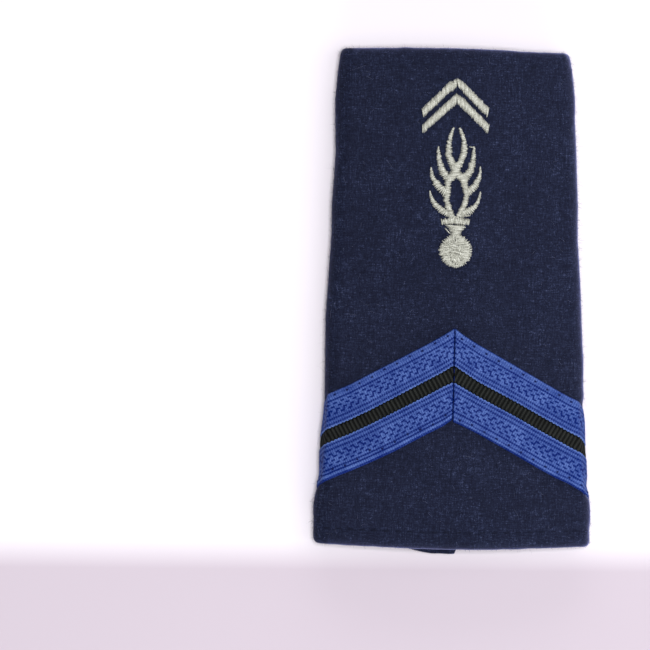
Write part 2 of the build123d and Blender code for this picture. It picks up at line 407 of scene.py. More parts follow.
FOLD_CHART = (
    FoldRow(-49.6, 0.00, 0.00),
    FoldRow(-45.7, 0.10, -0.15),
    FoldRow(-43.7, 0.05, 0.04),
    FoldRow(-40.7, 0.26, 0.08),
    FoldRow(-38.7, 0.13, 0.04),
    FoldRow(-36.7, 0.00, -0.25),
    FoldRow(-34.8, -0.24, 0.08),
    FoldRow(-31.8, -0.02, 0.12),
    FoldRow(-27.8, 0.08, 0.06),
    FoldRow(-23.8, -0.24, 0.14),
    FoldRow(-20.8, -0.38, -0.20),
    FoldRow(-18.8, -0.48, 0.15),
    FoldRow(-16.8, -0.30, 0.08),
    FoldRow(-12.0, -0.18, 0.26),
    FoldRow(-3.9, 0.00, -0.06),
    FoldRow(4.1, -0.06, 0.10),
    FoldRow(12.0, -0.08, 0.00),
    FoldRow(20.0, -0.08, 0.12),
    FoldRow(29.5, -0.38, 0.05),
    FoldRow(36.0, -0.02, 0.00),
    FoldRow(41.5, 0.36, 0.29),
    FoldRow(46.0, 0.30, 0.06),
    FoldRow(50.4, -0.14, -0.45),
)


class EndRow(NamedTuple):
    """How far each end lies from its own straight line, at a distance from the middle."""

    x: float
    wide_rise: float
    narrow_drop: float


END_CHART = (
    EndRow(-27.6, 1.05, 0.27),
    EndRow(-21.0, 0.69, 0.25),
    EndRow(-14.5, 0.41, 0.19),
    EndRow(-7.0, 0.16, 0.15),
    EndRow(0.0, 0.00, 0.22),
    EndRow(8.8, 0.06, 0.48),
    EndRow(15.0, 0.28, 0.82),
    EndRow(21.0, 0.50, 0.93),
    EndRow(27.6, 0.77, 0.95),
)


@dataclass(frozen=True)
class Tube:
    """The flattened tube that the sleeve, the braid and the emblem share."""

    length: float = 100.0
    wide_y: float = -49.6
    wide_width: float = 55.2
    narrow_width: float = 46.0
    wide_crown: float = 10.2
    narrow_crown: float = 9.8
    fold_radius: float = 2.6
    fold_height: float = 4.5
    fold_lift: float = 1.9
    rest_half: float = 12.0
    taper_blur: tuple[float, ...] = (-0.02, -0.01, 0.0, 0.01, 0.02)
    fold_starts: float = 0.5
    fold_blends: float = 0.6
    fold_ends: float = 1.95
    fold_fades: float = 0.5

    def proud_at(self, y: float, side: Side, turn: float) -> float:
        """How far a point of a side fold stands proud, below zero where it is drawn in.

        Args:
            y: Place along the tube.
            side: The half of the tube.
            turn: Turn of the tube's outline there.

        Returns:
            The distance away from the middle, zero on the front and under the tube.
        """
        left, right = read_chart(FOLD_CHART, y)
        before_end = 1 - smooth_step((turn - self.fold_ends) / self.fold_fades)
        at_fold = smooth_step((turn - self.fold_starts) / self.fold_blends) * before_end
        return at_fold * (left if side is Side.LEFT else right)

    def section(self, y: float) -> Section:
        """Outline of the tube at a place along it."""
        along = (y - self.wide_y) / self.length
        taper = sum(read_chart(TAPER, along + shift)[0] for shift in self.taper_blur) / len(self.taper_blur)
        width = self.wide_width + (self.narrow_width - self.wide_width) * taper
        crown = self.wide_crown + (self.narrow_crown - self.wide_crown) * along
        fold_x = width / 2 - self.fold_radius
        rise = crown - self.fold_height
        under_run = fold_x - self.rest_half
        return Section(
            crown=crown,
            front_radius=(fold_x**2 + rise**2 - self.fold_radius**2) / (2 * (rise - self.fold_radius)),
            fold_x=fold_x,
            fold_height=self.fold_height,
            fold_radius=self.fold_radius,
            under_radius=(under_run**2 + self.fold_height**2 - self.fold_radius**2) / (2 * self.fold_lift),
            rest_half=self.rest_half,
        )

    def front(self, x: float, y: float, lift: float = 0.0) -> Vector:
        """Point over the front of the tube.

        Args:
            x: Distance from the middle.
            y: Place along the tube.
            lift: Height over the cloth.

        Returns:
            The point.
        """
        section = self.section(y)
        turn = math.asin(x / section.front_radius)
        radius = section.front_radius + lift
        centre = section.crown - section.front_radius
        return Vector((radius * math.sin(turn), y, centre + radius * math.cos(turn)))


class LegRow(NamedTuple):
    """How far the braid's long edges lie above their straight lines, at a distance from the crown."""

    reach: float
    upper: float
    stripe_top: float
    stripe_foot: float
    lower: float


LEG_CHART: dict[Side, tuple[LegRow, ...]] = {
    Side.LEFT: (
        LegRow(0.0, 0.27, 0.21, -0.06, 0.10),
        LegRow(2.0, 0.03, 0.00, 0.08, -0.32),
        LegRow(5.0, -0.13, -0.09, -0.03, -0.29),
        LegRow(12.0, -0.20, -0.22, -0.05, -0.43),
        LegRow(17.0, -0.23, -0.24, -0.03, -0.18),
        LegRow(20.5, -0.29, -0.09, 0.13, 0.14),
        LegRow(23.0, -0.07, 0.14, 0.43, 0.46),
        LegRow(26.0, 0.13, 0.40, 0.62, 0.70),
    ),
    Side.RIGHT: (
        LegRow(0.0, 0.30, 0.15, -0.08, -0.38),
        LegRow(2.0, -0.12, -0.04, -0.12, -0.16),
        LegRow(5.0, -0.34, -0.34, -0.14, 0.02),
        LegRow(12.0, -0.32, -0.08, 0.10, 0.08),
        LegRow(17.0, -0.35, -0.06, 0.10, 0.03),
        LegRow(20.5, -0.36, -0.01, 0.22, 0.13),
        LegRow(23.0, -0.29, 0.06, 0.26, 0.46),
        LegRow(26.0, 0.05, 0.30, 0.42, 0.45),
    ),
}


@dataclass(frozen=True)
class BraidCourse:
    """Where the mitred braid runs over the tube, and how deep it sinks into the cloth at the folds."""

    apex_y: float = -5.8
    mitre_x: float = 0.17
    left_angle: float = 27.4
    right_angle: float = 29.3
    outer_width: float = 6.5
    stripe_width: float = 2.55
    inner_width: float = 6.7
    sink: float = 0.85
    sink_run: float = 0.45
    sink_turn: float = 0.25
    sink_blend: float = 0.8

    def angle(self, side: Side) -> float:
        """Slope of a leg in radians."""
        return math.radians(self.left_angle if side is Side.LEFT else self.right_angle)

    @property
    def width(self) -> float:
        """Width of the whole braid."""
        return self.outer_width + self.stripe_width + self.inner_width

    def height_at(self, side: Side, across: float, reach: float) -> float:
        """Find the place along the tube of a point of the braid.

        Args:
            side: The half of the slide.
            across: Distance from the braid's upper edge.
            reach: Distance from the crown round the tube.

        Returns:
            The place along the tube.
        """
        angle = self.angle(side)
        run = reach - side.value * self.mitre_x
        stripe_end = self.outer_width + self.stripe_width
        edges = zip((0.0, self.outer_width, stripe_end, self.width), read_chart(LEG_CHART[side], reach))
        shift = read_chart(tuple(edges), across)[0]
        return self.apex_y - run * math.tan(angle) - across / math.cos(angle) + shift

    def sink_at(self, turn: float) -> float:
        """Depth to which the braid sinks where the tube's outline has turned by an angle."""
        return self.sink * smooth_step((turn - self.sink_turn) / self.sink_blend)

    def groove_at(self, side: Side, reach: float, y: float, turn: float) -> float:
        """Depth of the cloth under the braid.

        Args:
            side: The half of the slide.
            reach: Distance from the crown round the tube.
            y: Place along the tube.
            turn: Turn of the tube's outline there.

        Returns:
            The depth, zero beside the braid.
        """
        depth = self.sink_at(turn)
        if depth <= 0:
            return 0.0
        below = self.height_at(side, 0.0, reach) - y
        above = y - self.height_at(side, self.width, reach)
        inside = min(below, above) * math.cos(self.angle(side))
        return depth * smooth_step(inside / self.sink_run)


# Finishes


@dataclass(frozen=True)
class FeltedWool:
    """Navy melton: a fulled wool cloth whose matted nap shows mottled, with a soft light bloom at edges."""

    name: str = "felted wool melton"
    deep: str = "#0a0e20"
    body: str = "#161b30"
    lit: str = "#232a44"
    fibre: str = "#424a68"
    bloom: str = "#aab0ee"
    nap_width: float = 0.24
    mottle_share: float = 0.14
    mottle_width: float = 1.3
    cloud_width: float = 9.0
    weave_share: float = 0.35
    weave_stretch: float = 7.0
    weave_coarse: float = 0.3
    dark_span: float = 0.17
    light_span: float = 0.24
    nap_depth: float = 0.10

    def make(self) -> Material:
        """Build the material, with its patterns in real millimetres."""
        material, shader = new_material(self.name, 0.95, 0.15)
        tree = material.node_tree
        place = add_node(tree, "TexCoord").outputs["Object"]
        nap = add_noise(tree, place, 1 / (self.nap_width * MM), 3.0, 0.65, 1.2)
        mottle = add_noise(tree, place, 1 / (self.mottle_width * MM), 4.0, 0.6, 0.6)
        cloud = add_noise(tree, place, 1 / (self.cloud_width * MM), 2.0)
        matted = add_weighted(tree, add_weighted(tree, mottle, 1.0, cloud), self.mottle_share, nap)
        warp = self.thread_lines(tree, place, (1.0, self.weave_stretch, 1.0))
        weft = self.thread_lines(tree, place, (self.weave_stretch, 1.0, 1.0))
        total = add_weighted(tree, add_weighted(tree, warp, 1.0, weft), self.weave_share, matted)
        middle = 0.5 + self.mottle_share + self.weave_share
        factor = map_range(tree, total, (middle - self.dark_span, middle + self.light_span))
        colour_base(tree, shader, factor, {0.0: self.deep, 0.5: self.body, 0.8: self.lit, 1.0: self.fibre})
        # The sheen weight reads the bloom, which carries a painted highlight at the rims and painted shade on
        # the left fold.
        bloom = add_node(tree, "Attribute", attribute_name="bloom").outputs["Fac"]
        tree.links.new(bloom, shader.inputs["Sheen Weight"])
        shader.inputs["Sheen Roughness"].default_value = 0.42
        shader.inputs["Sheen Tint"].default_value = linear(self.bloom)
        add_bump(tree, shader, total, 0.6, self.nap_depth)
        return material

    def thread_lines(
        self, tree: NodeTree, place: NodeSocket, stretch: tuple[float, float, float]
    ) -> NodeSocket:
        """Faint lines of the woven ground under the nap.

        Args:
            tree: The material's node tree.
            place: The object's coordinates.
            stretch: How much finer the pattern is along each axis.

        Returns:
            The pattern's factor.
        """
        scale = tuple(self.weave_coarse * part / (self.nap_width * MM) for part in stretch)
        stretched = add_node(tree, "Mapping", {"Vector": place, "Scale": scale}).outputs["Vector"]
        return add_noise(tree, stretched, 0.5, 1.0)


@dataclass(frozen=True)
class LooseFibre:
    """A wool fibre that stands out of the nap: too thin for a pattern, so each tint is one colour."""

    name: str
    colour: str

    def make(self) -> Material:
        """Build the material."""
        material, shader = new_material(self.name, 0.8, 0.08)
        shader.inputs["Base Color"].default_value = linear(self.colour)
        return material


@dataclass(frozen=True)
class BraidYarn:
    """Dyed rayon yarn of a woven braid: a soft shine, lighter where it lies high and dark in the ground."""

    name: str
    high: str
    body: str
    ground: str
    roughness: float = 0.55
    yarn_pitch: float = 0.2
    yarn_depth: float = 0.03
    grain_share: float = 2.0
    wear_per_mm: float = 0.35
    drift: float = 0.4

    def make(self) -> Material:
        """Build the material, which reads the weave's shade and its own lengths along and across."""
        material, shader = new_material(self.name, self.roughness, 0.06)
        tree = material.node_tree
        shade, along, across = (
            add_node(tree, "Attribute", attribute_name=name).outputs["Fac"]
            for name in ("shade", "along", "across")
        )
        place = add_node(tree, "CombineXYZ", {"X": along, "Y": across}).outputs["Vector"]
        grain = add_noise(tree, place, 1 / self.yarn_pitch, 2.0, 0.6)
        wear = add_noise(tree, place, self.wear_per_mm, 3.0)
        uneven = add_weighted(tree, grain, self.grain_share, wear)
        drift = map_range(tree, uneven, (0.9, 2.1), (-self.drift, self.drift))
        factor = add_node(tree, "Math", {0: shade, 1: drift}, operation="ADD", use_clamp=True).outputs[0]
        # The shade holds the weave's own dark marks and also painted shade and highlight at the band edges,
        # the stripe's hollows and the mitre.
        colour_base(tree, shader, factor, {0.0: self.high, 0.4: self.body, 0.8: self.ground})
        add_bump(tree, shader, grain, 0.5, self.yarn_depth)
        return material


@dataclass(frozen=True)
class EmbroideryThread:
    """Silver-grey rayon embroidery thread: two twisted plies, with a silky shine along each stitch, a painted
    highlight on each crest and painted shade down its flanks.
    """

    name: str = "silver-grey rayon thread"
    bright: str = "#dfe0d7"
    body: str = "#9f9f92"
    shaded_flank: str = "#3a3a34"
    twist_pitch: float = 0.55
    twist_depth: float = 0.05
    crest_half: float = 0.2
    crest_highlight: float = 0.08
    flank_shade: float = -0.42
    twist_share: float = 0.2
    uneven_share: float = 0.7
    uneven_per_mm: float = 3.4
    tone_share: float = 0.7
    tone_per_mm: float = 0.5

    def make(self) -> Material:
        """Build the material: a painted highlight on each thread's crest and painted shade down its flanks,
        twisted, and uneven in tone.
        """
        material, shader = new_material(self.name, 0.42, 0.5)
        shader.inputs["Sheen Weight"].default_value = 0.15
        tree = material.node_tree
        own, twist = add_twist(tree, self.twist_pitch, 0.4, 1.0)
        place = add_node(tree, "TexCoord").outputs["Object"]
        # Painted highlight on the top of each thread and painted shade down its flanks, read off its own map
        # round the thread.
        round_thread = add_node(tree, "SeparateXYZ", {"Vector": own}).outputs["Y"]
        from_top = add_node(tree, "Math", {0: round_thread, 1: 0.5}, operation="SUBTRACT").outputs[0]
        aside = add_node(tree, "Math", {0: from_top}, operation="ABSOLUTE").outputs[0]
        crest = map_range(tree, aside, (0.0, self.crest_half), (self.crest_highlight, self.flank_shade))
        lit = add_weighted(tree, twist, self.twist_share, crest)
        uneven = add_noise(tree, place, self.uneven_per_mm / MM, 3.0)
        streaked = add_weighted(tree, uneven, self.uneven_share, lit)
        tone = add_noise(tree, own, self.tone_per_mm, 1.0)
        factor = add_weighted(tree, tone, self.tone_share, streaked)
        colour_base(tree, shader, factor, {0.2: self.shaded_flank, 0.65: self.body, 1.0: self.bright})
        add_bump(tree, shader, twist, 0.6, self.twist_depth)
        return material


@dataclass(frozen=True)
class SewingThread:
    """Spun polyester sewing thread: matt, with a fine twist."""

    name: str
    colour: str
    shadow: str
    twist_pitch: float = 0.5

    def make(self) -> Material:
        """Build the material, whose twist follows each thread's own map."""
        material, shader = new_material(self.name, 0.75, 0.08)
        _, twist = add_twist(material.node_tree, self.twist_pitch)
        colour_base(material.node_tree, shader, twist, {0.0: self.shadow, 1.0: self.colour})
        return material


@dataclass(frozen=True)
class StudioPaper:
    """Matt white seamless paper with a trace of lilac, greyer in front of the slide than beyond it."""

    name: str = "white seamless paper"
    beyond: str = "#f2ecf4"
    front: str = "#ccc0cc"
    near_y: float = -54.0
    far_y: float = -48.0
    cloud_share: float = 0.08
    clouds_per_metre: float = 12.0

    def make(self) -> Material:
        """Build the material, with a soft change of tone along the slide and a faint cloudiness."""
        material, shader = new_material(self.name, 0.9, 0.1)
        tree = material.node_tree
        place = add_node(tree, "TexCoord").outputs["Object"]
        cloud = add_noise(tree, place, self.clouds_per_metre, 2.0)
        along = add_node(tree, "SeparateXYZ", {"Vector": place}).outputs["Y"]
        run = map_range(tree, along, (self.near_y * MM, self.far_y * MM))
        tone = add_weighted(tree, cloud, self.cloud_share, run)
        colour_base(tree, shader, tone, {0.0: self.front, 1.0: self.beyond})
        return material


# Threads


@dataclass(frozen=True)
class Stitch:
    """One visible run of thread between the two holes where it goes through the cloth."""

    start: Vector
    end: Vector
    up: Vector
    width: float
    thickness: float
    arch: float
    sink: float

    def place(self, point: Vector) -> Vector:
        """Bend a point of the straight template thread along this stitch."""
        share = point.x + 0.5
        spread = abs(2 * share - 1)
        fade = 1 - 0.5 * spread**6
        ahead = (self.end - self.start).normalized()
        aside = ahead.cross(self.up).normalized()
        lift = self.arch * (1 - spread**3) - self.sink * spread**8
        return (
            self.start.lerp(self.end, share)
            + aside * point.y * self.width * fade
            + self.up * (lift + point.z * self.thickness * fade)
        )


@dataclass(frozen=True)
class ThreadMesh:
    """Makes stitches into one mesh, each a closed tube with few faces and a map of its own."""

    sides: int = 6
    cuts: int = 5
    spool_step: float = 7.3
    spool_turns: int = 50

    def template(self) -> BMesh:
        """Straight closed tube along X, one long and one across."""
        bm = bmesh.new()
        bmesh.ops.create_cone(
            bm,
            cap_ends=True,
            cap_tris=False,
            segments=self.sides,
            radius1=0.5,
            radius2=0.5,
            depth=1.0,
            matrix=Matrix.Rotation(math.pi / 2, 4, "Y"),
        )
        long_edges = [edge for edge in bm.edges if abs(edge.verts[0].co.x - edge.verts[1].co.x) > 0.5]
        bmesh.ops.subdivide_edges(bm, edges=long_edges, cuts=self.cuts)
        return bm

    def sew(self, stitches: list[Stitch]) -> BMesh:
        """Lay the stitches.

        Args:
            stitches: Every stitch of the piece.

        Returns:
            One bmesh, with the map named thread: length in millimetres, and turns round it from below.
        """
        template = self.template()
        count = len(template.verts)
        straight = [vert.co.copy() for vert in template.verts]
        bm = repeat_shape(template, len(stitches), lambda copy, point: stitches[copy].place(point))
        layer = bm.loops.layers.uv.new("thread")
        bm.verts.index_update()
        for face in bm.faces:
            corners = [divmod(loop.vert.index, count) for loop in face.loops]
            turns = [(math.atan2(straight[i].y, -straight[i].z) / math.tau) % 1.0 for _, i in corners]
            wraps = max(turns) - min(turns) > 0.5
            for loop, (copy, index), turn in zip(face.loops, corners, turns):
                length = (stitches[copy].end - stitches[copy].start).length
                along_spool = self.spool_step * (copy % self.spool_turns)
                round_thread = turn + 1 if wraps and turn < 0.5 else turn
                loop[layer].uv = (straight[index].x * length + along_spool, round_thread)
        return bm


# Sleeve


class WallStation(NamedTuple):
    """A place round the wall of the tube: distance from the wide end and depth under the outer face."""

    distance: float
    inset: float
    outside: bool


@dataclass(frozen=True)
class Fibre:
    """One loose wool fibre: where it leaves the nap, where it points and how it bends."""

    root: Vector
    ahead: Vector
    bend: Vector
    radius: float

    def place(self, point: Vector) -> Vector:
        """Bend a point of the upright template fibre along this one."""
        share = point.z
        aside = self.ahead.orthogonal().normalized()
        other = self.ahead.cross(aside).normalized()
        along = self.root + self.ahead * share + self.bend * share**2
        return along + (aside * point.x + other * point.y) * self.radius


@dataclass(frozen=True)
class FibreKind:
    """Lengths and thicknesses that a kind of loose fibre has."""

    longest: float
    usual_log: float
    spread: float
    thin: float
    thick: float

    def draw_length(self, rng: random.Random) -> float:
        """Draw one fibre's length."""
        return min(self.longest, rng.lognormvariate(self.usual_log, self.spread))

    def draw_radius(self, rng: random.Random) -> float:
        """Draw one fibre's radius."""
        return rng.uniform(self.thin, self.thick)


NAP_KIND = FibreKind(longest=0.8, usual_log=-1.35, spread=0.45, thin=0.014, thick=0.024)
LINT_KIND = FibreKind(longest=2.2, usual_log=-0.35, spread=0.5, thin=0.012, thick=0.022)

# The nap's tints are lighter than the cloth: painted light on fibres that catch it at the edges.
LIT_NAP_TINTS = {"navy wool fibre": "#20264a", "lit wool fibre": "#3c4478", "brightly lit wool fibre": "#6f79b0"}
LINT_TINTS = {
    "dark wool fibre": "#0e1222",
    "dull wool fibre": "#1a1f36",
    "slate wool fibre": "#262c44",
    "grey wool fibre": "#3a4058",
    "bleached lint": "#6c7290",
}


@dataclass(frozen=True)
class Sleeve:
    """The tube of felted wool with its turned-in hems, sewing, nap and lint."""

    tube: Tube
    course: BraidCourse
    cloth: float = 1.3
    hem_wall: float = 2.2
    hem_depth: float = 8.0
    raw_edge: float = 0.15
    roll_run: float = 1.95
    roll_drop: float = 1.5
    roll_back: float = 0.9
    roll_steps: int = 13
    corner: float = 0.4
    stitch_inset: float = 3.4
    stitch_depth: float = 0.13
    stitch_run: float = 0.4
    hole_pitch: float = 2.4
    hole_depth: float = 0.16
    hole_run: float = 0.35
    narrow_share: float = 0.45
    fold_calm: float = 0.8
    end_run: float = 12.0
    end_ragged: float = 0.12
    lap_edge: float = 0.82
    lap_reach: float = 1.0
    lap_width: float = 11.6
    lap_slant: float = 1.6
    lap_depth: float = 2.5
    lap_step: float = 0.5
    lap_run: float = 2.0
    puff: float = 0.06
    puff_run: float = 0.9
    rim_puff: float = 1.9
    inner_puff: float = 1.6
    swell: float = 0.10
    swell_width: float = 8.0
    grain: float = 0.04
    grain_width: float = 1.1
    # Painted shade: how much sheen the left fold loses, and over what run it fades in.
    left_fold_shade: float = 0.85
    left_shade_run: float = 1.5
    # Sheen on the front; the rise to full at the ends is a painted highlight on the rims.
    front_sheen: float = 0.85
    girth_steps: int = 236
    fine_step: float = 0.22
    coarse_step: float = 0.5
    coarse_rows: int = 171
    hem_rows: int = 6
    inner_rows: int = 44
    nap_count: int = 9500
    lint_count: int = 9000
    nap_loose: float = 0.55
    nap_bend: float = 0.3
    nap_root: float = 0.08
    lint_curl: float = 0.35
    lint_arch: float = 0.12
    seed: int = 11

    def rim(self) -> list[tuple[float, float]]:
        """Turned edge from the outside in: distance from the end and depth, on a wide and a tight arc."""
        places = []
        for step in range(1, self.roll_steps):
            turn = math.pi * step / self.roll_steps
            outer = turn < math.pi / 2
            run = self.roll_run if outer else self.roll_back
            drop = self.roll_drop if outer else self.hem_wall - self.roll_drop
            places.append((run * (1 - math.sin(turn)), self.roll_drop - drop * math.cos(turn)))
        return places

    def wall(self) -> list[WallStation]:
        """Stations round the wall: outside, narrow rim, inside with both hems' raw edges, wide rim."""
        length = self.tube.length
        fine = [self.stitch_inset + self.fine_step * step for step in range(-6, 7)]
        first = fine[-1] + self.coarse_step / 2
        coarse = [first + self.coarse_step * step for step in range(self.coarse_rows)]
        outer = [self.roll_run, *fine, *coarse]
        outer += [length - d for d in reversed([self.roll_run, *fine])]
        stations = [WallStation(d, 0.0, True) for d in outer]
        rim = self.rim()
        stations += [WallStation(length - d, inset, True) for d, inset in rim]
        hem_step = (self.hem_depth - self.roll_back) / self.hem_rows
        hem = [self.roll_back + hem_step * step for step in range(self.hem_rows + 1)]
        stations += [WallStation(length - d, self.hem_wall, False) for d in hem]
        inner_end = length - self.hem_depth - self.raw_edge
        inner_step = (length - 2 * (self.hem_depth + self.raw_edge)) / self.inner_rows
        inner = [inner_end - inner_step * step for step in range(self.inner_rows + 1)]
        stations += [WallStation(d, self.cloth, False) for d in inner]
        stations += [WallStation(d, self.hem_wall, False) for d in reversed(hem)]
        stations += [WallStation(d, inset, True) for d, inset in reversed(rim)]
        return [*stations, stations[0]]

    def end_shift(self, x: float, distance: float, under: float) -> float:
        """Shift of a point along the tube where the ends aren't straight.

        Args:
            x: The point's distance from the middle.
            distance: Its distance from the wide end.
            under: One on the back of the tube, zero on its front.

        Returns:
            The shift towards the narrow end.
        """
        at_wide = smooth_step(1 - distance / self.end_run)
        at_narrow = smooth_step(1 - (self.tube.length - distance) / self.end_run)
        rise, drop = read_chart(END_CHART, x)
        lap_share = (self.lap_edge - x) / self.lap_width
        lap = 0.0
        if 0 <= lap_share <= 1:
            at_end = smooth_step(1 - distance / self.lap_depth)
            lap = self.lap_reach * smooth_step((1 - lap_share) * self.lap_slant) * at_end
        ragged = self.end_ragged * noise.noise(Vector((x * 0.35, distance * 0.05, 3.0)))
        return at_wide * (rise + ragged) - at_narrow * (drop + ragged) - under * lap

    def sewn_depth(self, place: float, distance: float, turn: float) -> float:
        """How far the sewing of a hem draws the cloth in, below zero where it puffs up beside it.

        Args:
            place: Distance from the crown round the tube, below zero on its left half.
            distance: Distance from the wide end.
            turn: Turn of the tube's outline there.

        Returns:
            The depth.
        """
        to_end = min(distance, self.tube.length - distance)
        line = to_end - self.stitch_inset
        share = self.narrow_share if distance > self.tube.length / 2 else 1.0
        share *= 1 - bell(turn - math.pi / 2, self.fold_calm)
        hole = (0.5 + 0.5 * math.cos(math.tau * place / self.hole_pitch)) ** 4
        drawn_in = self.stitch_depth * bell(line, self.stitch_run)
        drawn_in += self.hole_depth * hole * bell(line, self.hole_run)
        puffed = bell(to_end - self.rim_puff, self.puff_run) + bell(line - self.inner_puff, self.puff_run)
        return share * (drawn_in - self.puff * puffed)

    def surface(self, girth: float, station: WallStation) -> Vector:
        """Point of the cloth.

        Args:
            girth: Place round the tube from -1 to 1, zero at the crown.
            station: Place round the wall.

        Returns:
            The point.
        """
        side = Side.LEFT if girth < 0 else Side.RIGHT
        y = self.tube.wide_y + station.distance
        section = self.tube.section(y)
        reach = abs(girth) * section.half_girth
        turn = section.point(reach, 0.0)[2]
        inset = station.inset + self.course.groove_at(side, reach, y, turn)
        if station.outside:
            inset += self.sewn_depth(side.value * reach, station.distance, turn)
        x, z, _ = section.point(reach, inset)
        if station.outside:
            x += self.corner * math.sin(math.pi * station.inset / self.hem_wall) * math.sin(turn)
        x *= side.value
        under = smooth_step((turn - math.pi * 0.62) / 0.5)
        y += self.end_shift(x, station.distance, under)
        swell = self.swell * noise.noise(Vector((x, y, 0.0)) / self.swell_width) * (1 - under)
        if station.outside:
            swell += self.grain * noise.noise(Vector((x, y, z)) / self.grain_width)
        x += side.value * (self.tube.proud_at(y, side, turn) + swell * math.sin(turn))
        z += swell * math.cos(turn) * (1 - under)
        step = (x - self.lap_edge) / self.lap_run
        if under > 0.9 and 0 <= step < 1:
            z += self.lap_step * (1 - step)
        return Vector((x, y, max(z, 0.0)))

    def bloom_at(self, girth: float, station: WallStation) -> float:
        """Strength of the nap's sheen: raised to full at the ends as a painted highlight on the rims, less on
        the front, and cut on the left fold as painted shade.

        Args:
            girth: Place round the tube from -1 to 1, zero at the crown.
            station: Place round the wall.

        Returns:
            The strength, from 0 to 1.
        """
        section = self.tube.section(self.tube.wide_y + station.distance)
        past_front = -girth * section.half_girth - section.front_length
        from_end = min(station.distance, self.tube.length - station.distance)
        # Painted highlight: more sheen towards the ends. Painted shade: less sheen on the left fold.
        sheen_with_rim_highlight = self.front_sheen + (1 - self.front_sheen) * smooth_step(1.5 - from_end / self.roll_run)
        return sheen_with_rim_highlight * (1 - self.left_fold_shade * smooth_step((past_front + self.left_shade_run) / self.left_shade_run))

    def build_cloth(self, felt: Material) -> Object:
        """Roll a grid into the tube with its double wall."""
        wall = self.wall()
        bm = bmesh.new()
        bloom = bm.verts.layers.float.new("bloom")
        bmesh.ops.create_grid(bm, x_segments=self.girth_steps, y_segments=len(wall) - 1, size=1.0)
        for vert in bm.verts:
            station = wall[round((vert.co.y + 1) / 2 * (len(wall) - 1))]
            vert[bloom] = self.bloom_at(vert.co.x, station)
            vert.co = self.surface(vert.co.x, station)
        bmesh.ops.remove_doubles(bm, verts=bm.verts, dist=0.0005)
        bmesh.ops.recalc_face_normals(bm, faces=bm.faces)
        return finish_piece(bm, "felt_sleeve", Slot.CLOTH, [felt], ("sleeve",))

    def build_sewing(self, thread: Material) -> Object:
        """Machine stitches that lie in the groove of each hem, on the front and round the folds."""
        stitches = []
        for distance in (self.stitch_inset, self.tube.length - self.stitch_inset):
            section = self.tube.section(self.tube.wide_y + distance)
            count = int((section.front_length + section.fold_length) / self.hole_pitch)
            for number in range(-count, count):
                ends = []
                for share in (0.1, 0.9):
                    reach = (number + share) * self.hole_pitch
                    side = -1 if reach < 0 else 1
                    x, z, turn = section.point(abs(reach), self.stitch_depth + 0.12)
                    shift = self.end_shift(side * x, distance, 0.0)
                    ends.append((Vector((side * x, self.tube.wide_y + distance + shift, z)), side * turn))
                (start, start_turn), (end, end_turn) = ends
                turn = (start_turn + end_turn) / 2
                up = Vector((math.sin(turn), 0, math.cos(turn)))
                stitches.append(Stitch(start, end, up, width=0.34, thickness=0.3, arch=0.1, sink=0.35))
        return finish_piece(ThreadMesh(cuts=3).sew(stitches), "hem_sewing", Slot.CLOTH, [thread])

    def fibre_template(self) -> BMesh:
        """Thin upright spike with one joint, closed below."""
        bm = bmesh.new()
        bmesh.ops.create_cone(
            bm,
            cap_ends=True,
            cap_tris=True,
            segments=3,
            radius1=1.0,
            radius2=0.25,
            depth=1.0,
            matrix=Matrix.Translation((0, 0, 0.5)),
        )
        slanted = [edge for edge in bm.edges if abs(edge.verts[0].co.z - edge.verts[1].co.z) > 0.5]
        bmesh.ops.subdivide_edges(bm, edges=slanted, cuts=1)
        return bm

    def nap_place(self, at_rim: bool, rims: list[WallStation], rng: random.Random) -> tuple[Vector, Vector]:
        """Draw where a fibre of the nap leaves the cloth.

        Args:
            at_rim: Whether it stands on a turned edge, and otherwise on a fold.
            rims: Stations of the turned edges.
            rng: The source of its place.

        Returns:
            The place and the direction straight out of the cloth there.
        """
        tube = self.tube
        if at_rim:
            girth = rng.uniform(-1, 1)
            station = rng.choice(rims)
        else:
            station = WallStation(rng.uniform(0.6, tube.length - 0.6), 0.0, True)
            section = tube.section(tube.wide_y + station.distance)
            reach = section.front_length + section.fold_length * rng.gauss(0.35, 0.3)
            girth = rng.choice((-1, 1)) * reach / section.half_girth
        root = self.surface(girth, station)
        beside = self.surface(girth + 0.004, station)
        ahead = self.surface(girth, station._replace(distance=station.distance + 0.4))
        normal = (ahead - root).cross(beside - root).normalized() * -1
        if at_rim:
            outward = 1 if station.distance > tube.length / 2 else -1
            normal = Vector((normal.x * 0.4, outward, normal.z * 0.4)).normalized()
        return root, normal

    def build_nap(self, tints: list[Material]) -> Object:
        """Fibres that stand out of the folds and, three in ten, out of the rims."""
        rng = random.Random(self.seed)
        rims = [station for station in self.wall() if station.outside and station.inset > 0.1]
        fibres = []
        for number in range(self.nap_count):
            root, normal = self.nap_place(number % 10 < 3, rims, rng)
            loose = scatter(rng) * self.nap_loose
            length = NAP_KIND.draw_length(rng)
            direction = (normal + loose).normalized() * length
            bend = scatter(rng) * self.nap_bend * length
            root = root - normal * self.nap_root
            if root.z + direction.z + bend.z < 0.05:
                direction.z = abs(direction.z) * 0.3
                bend.z = abs(bend.z) * 0.3
            fibres.append(Fibre(root, direction, bend, NAP_KIND.draw_radius(rng)))
        return self.lay_fibres(fibres, "edge_nap", tints, rng)

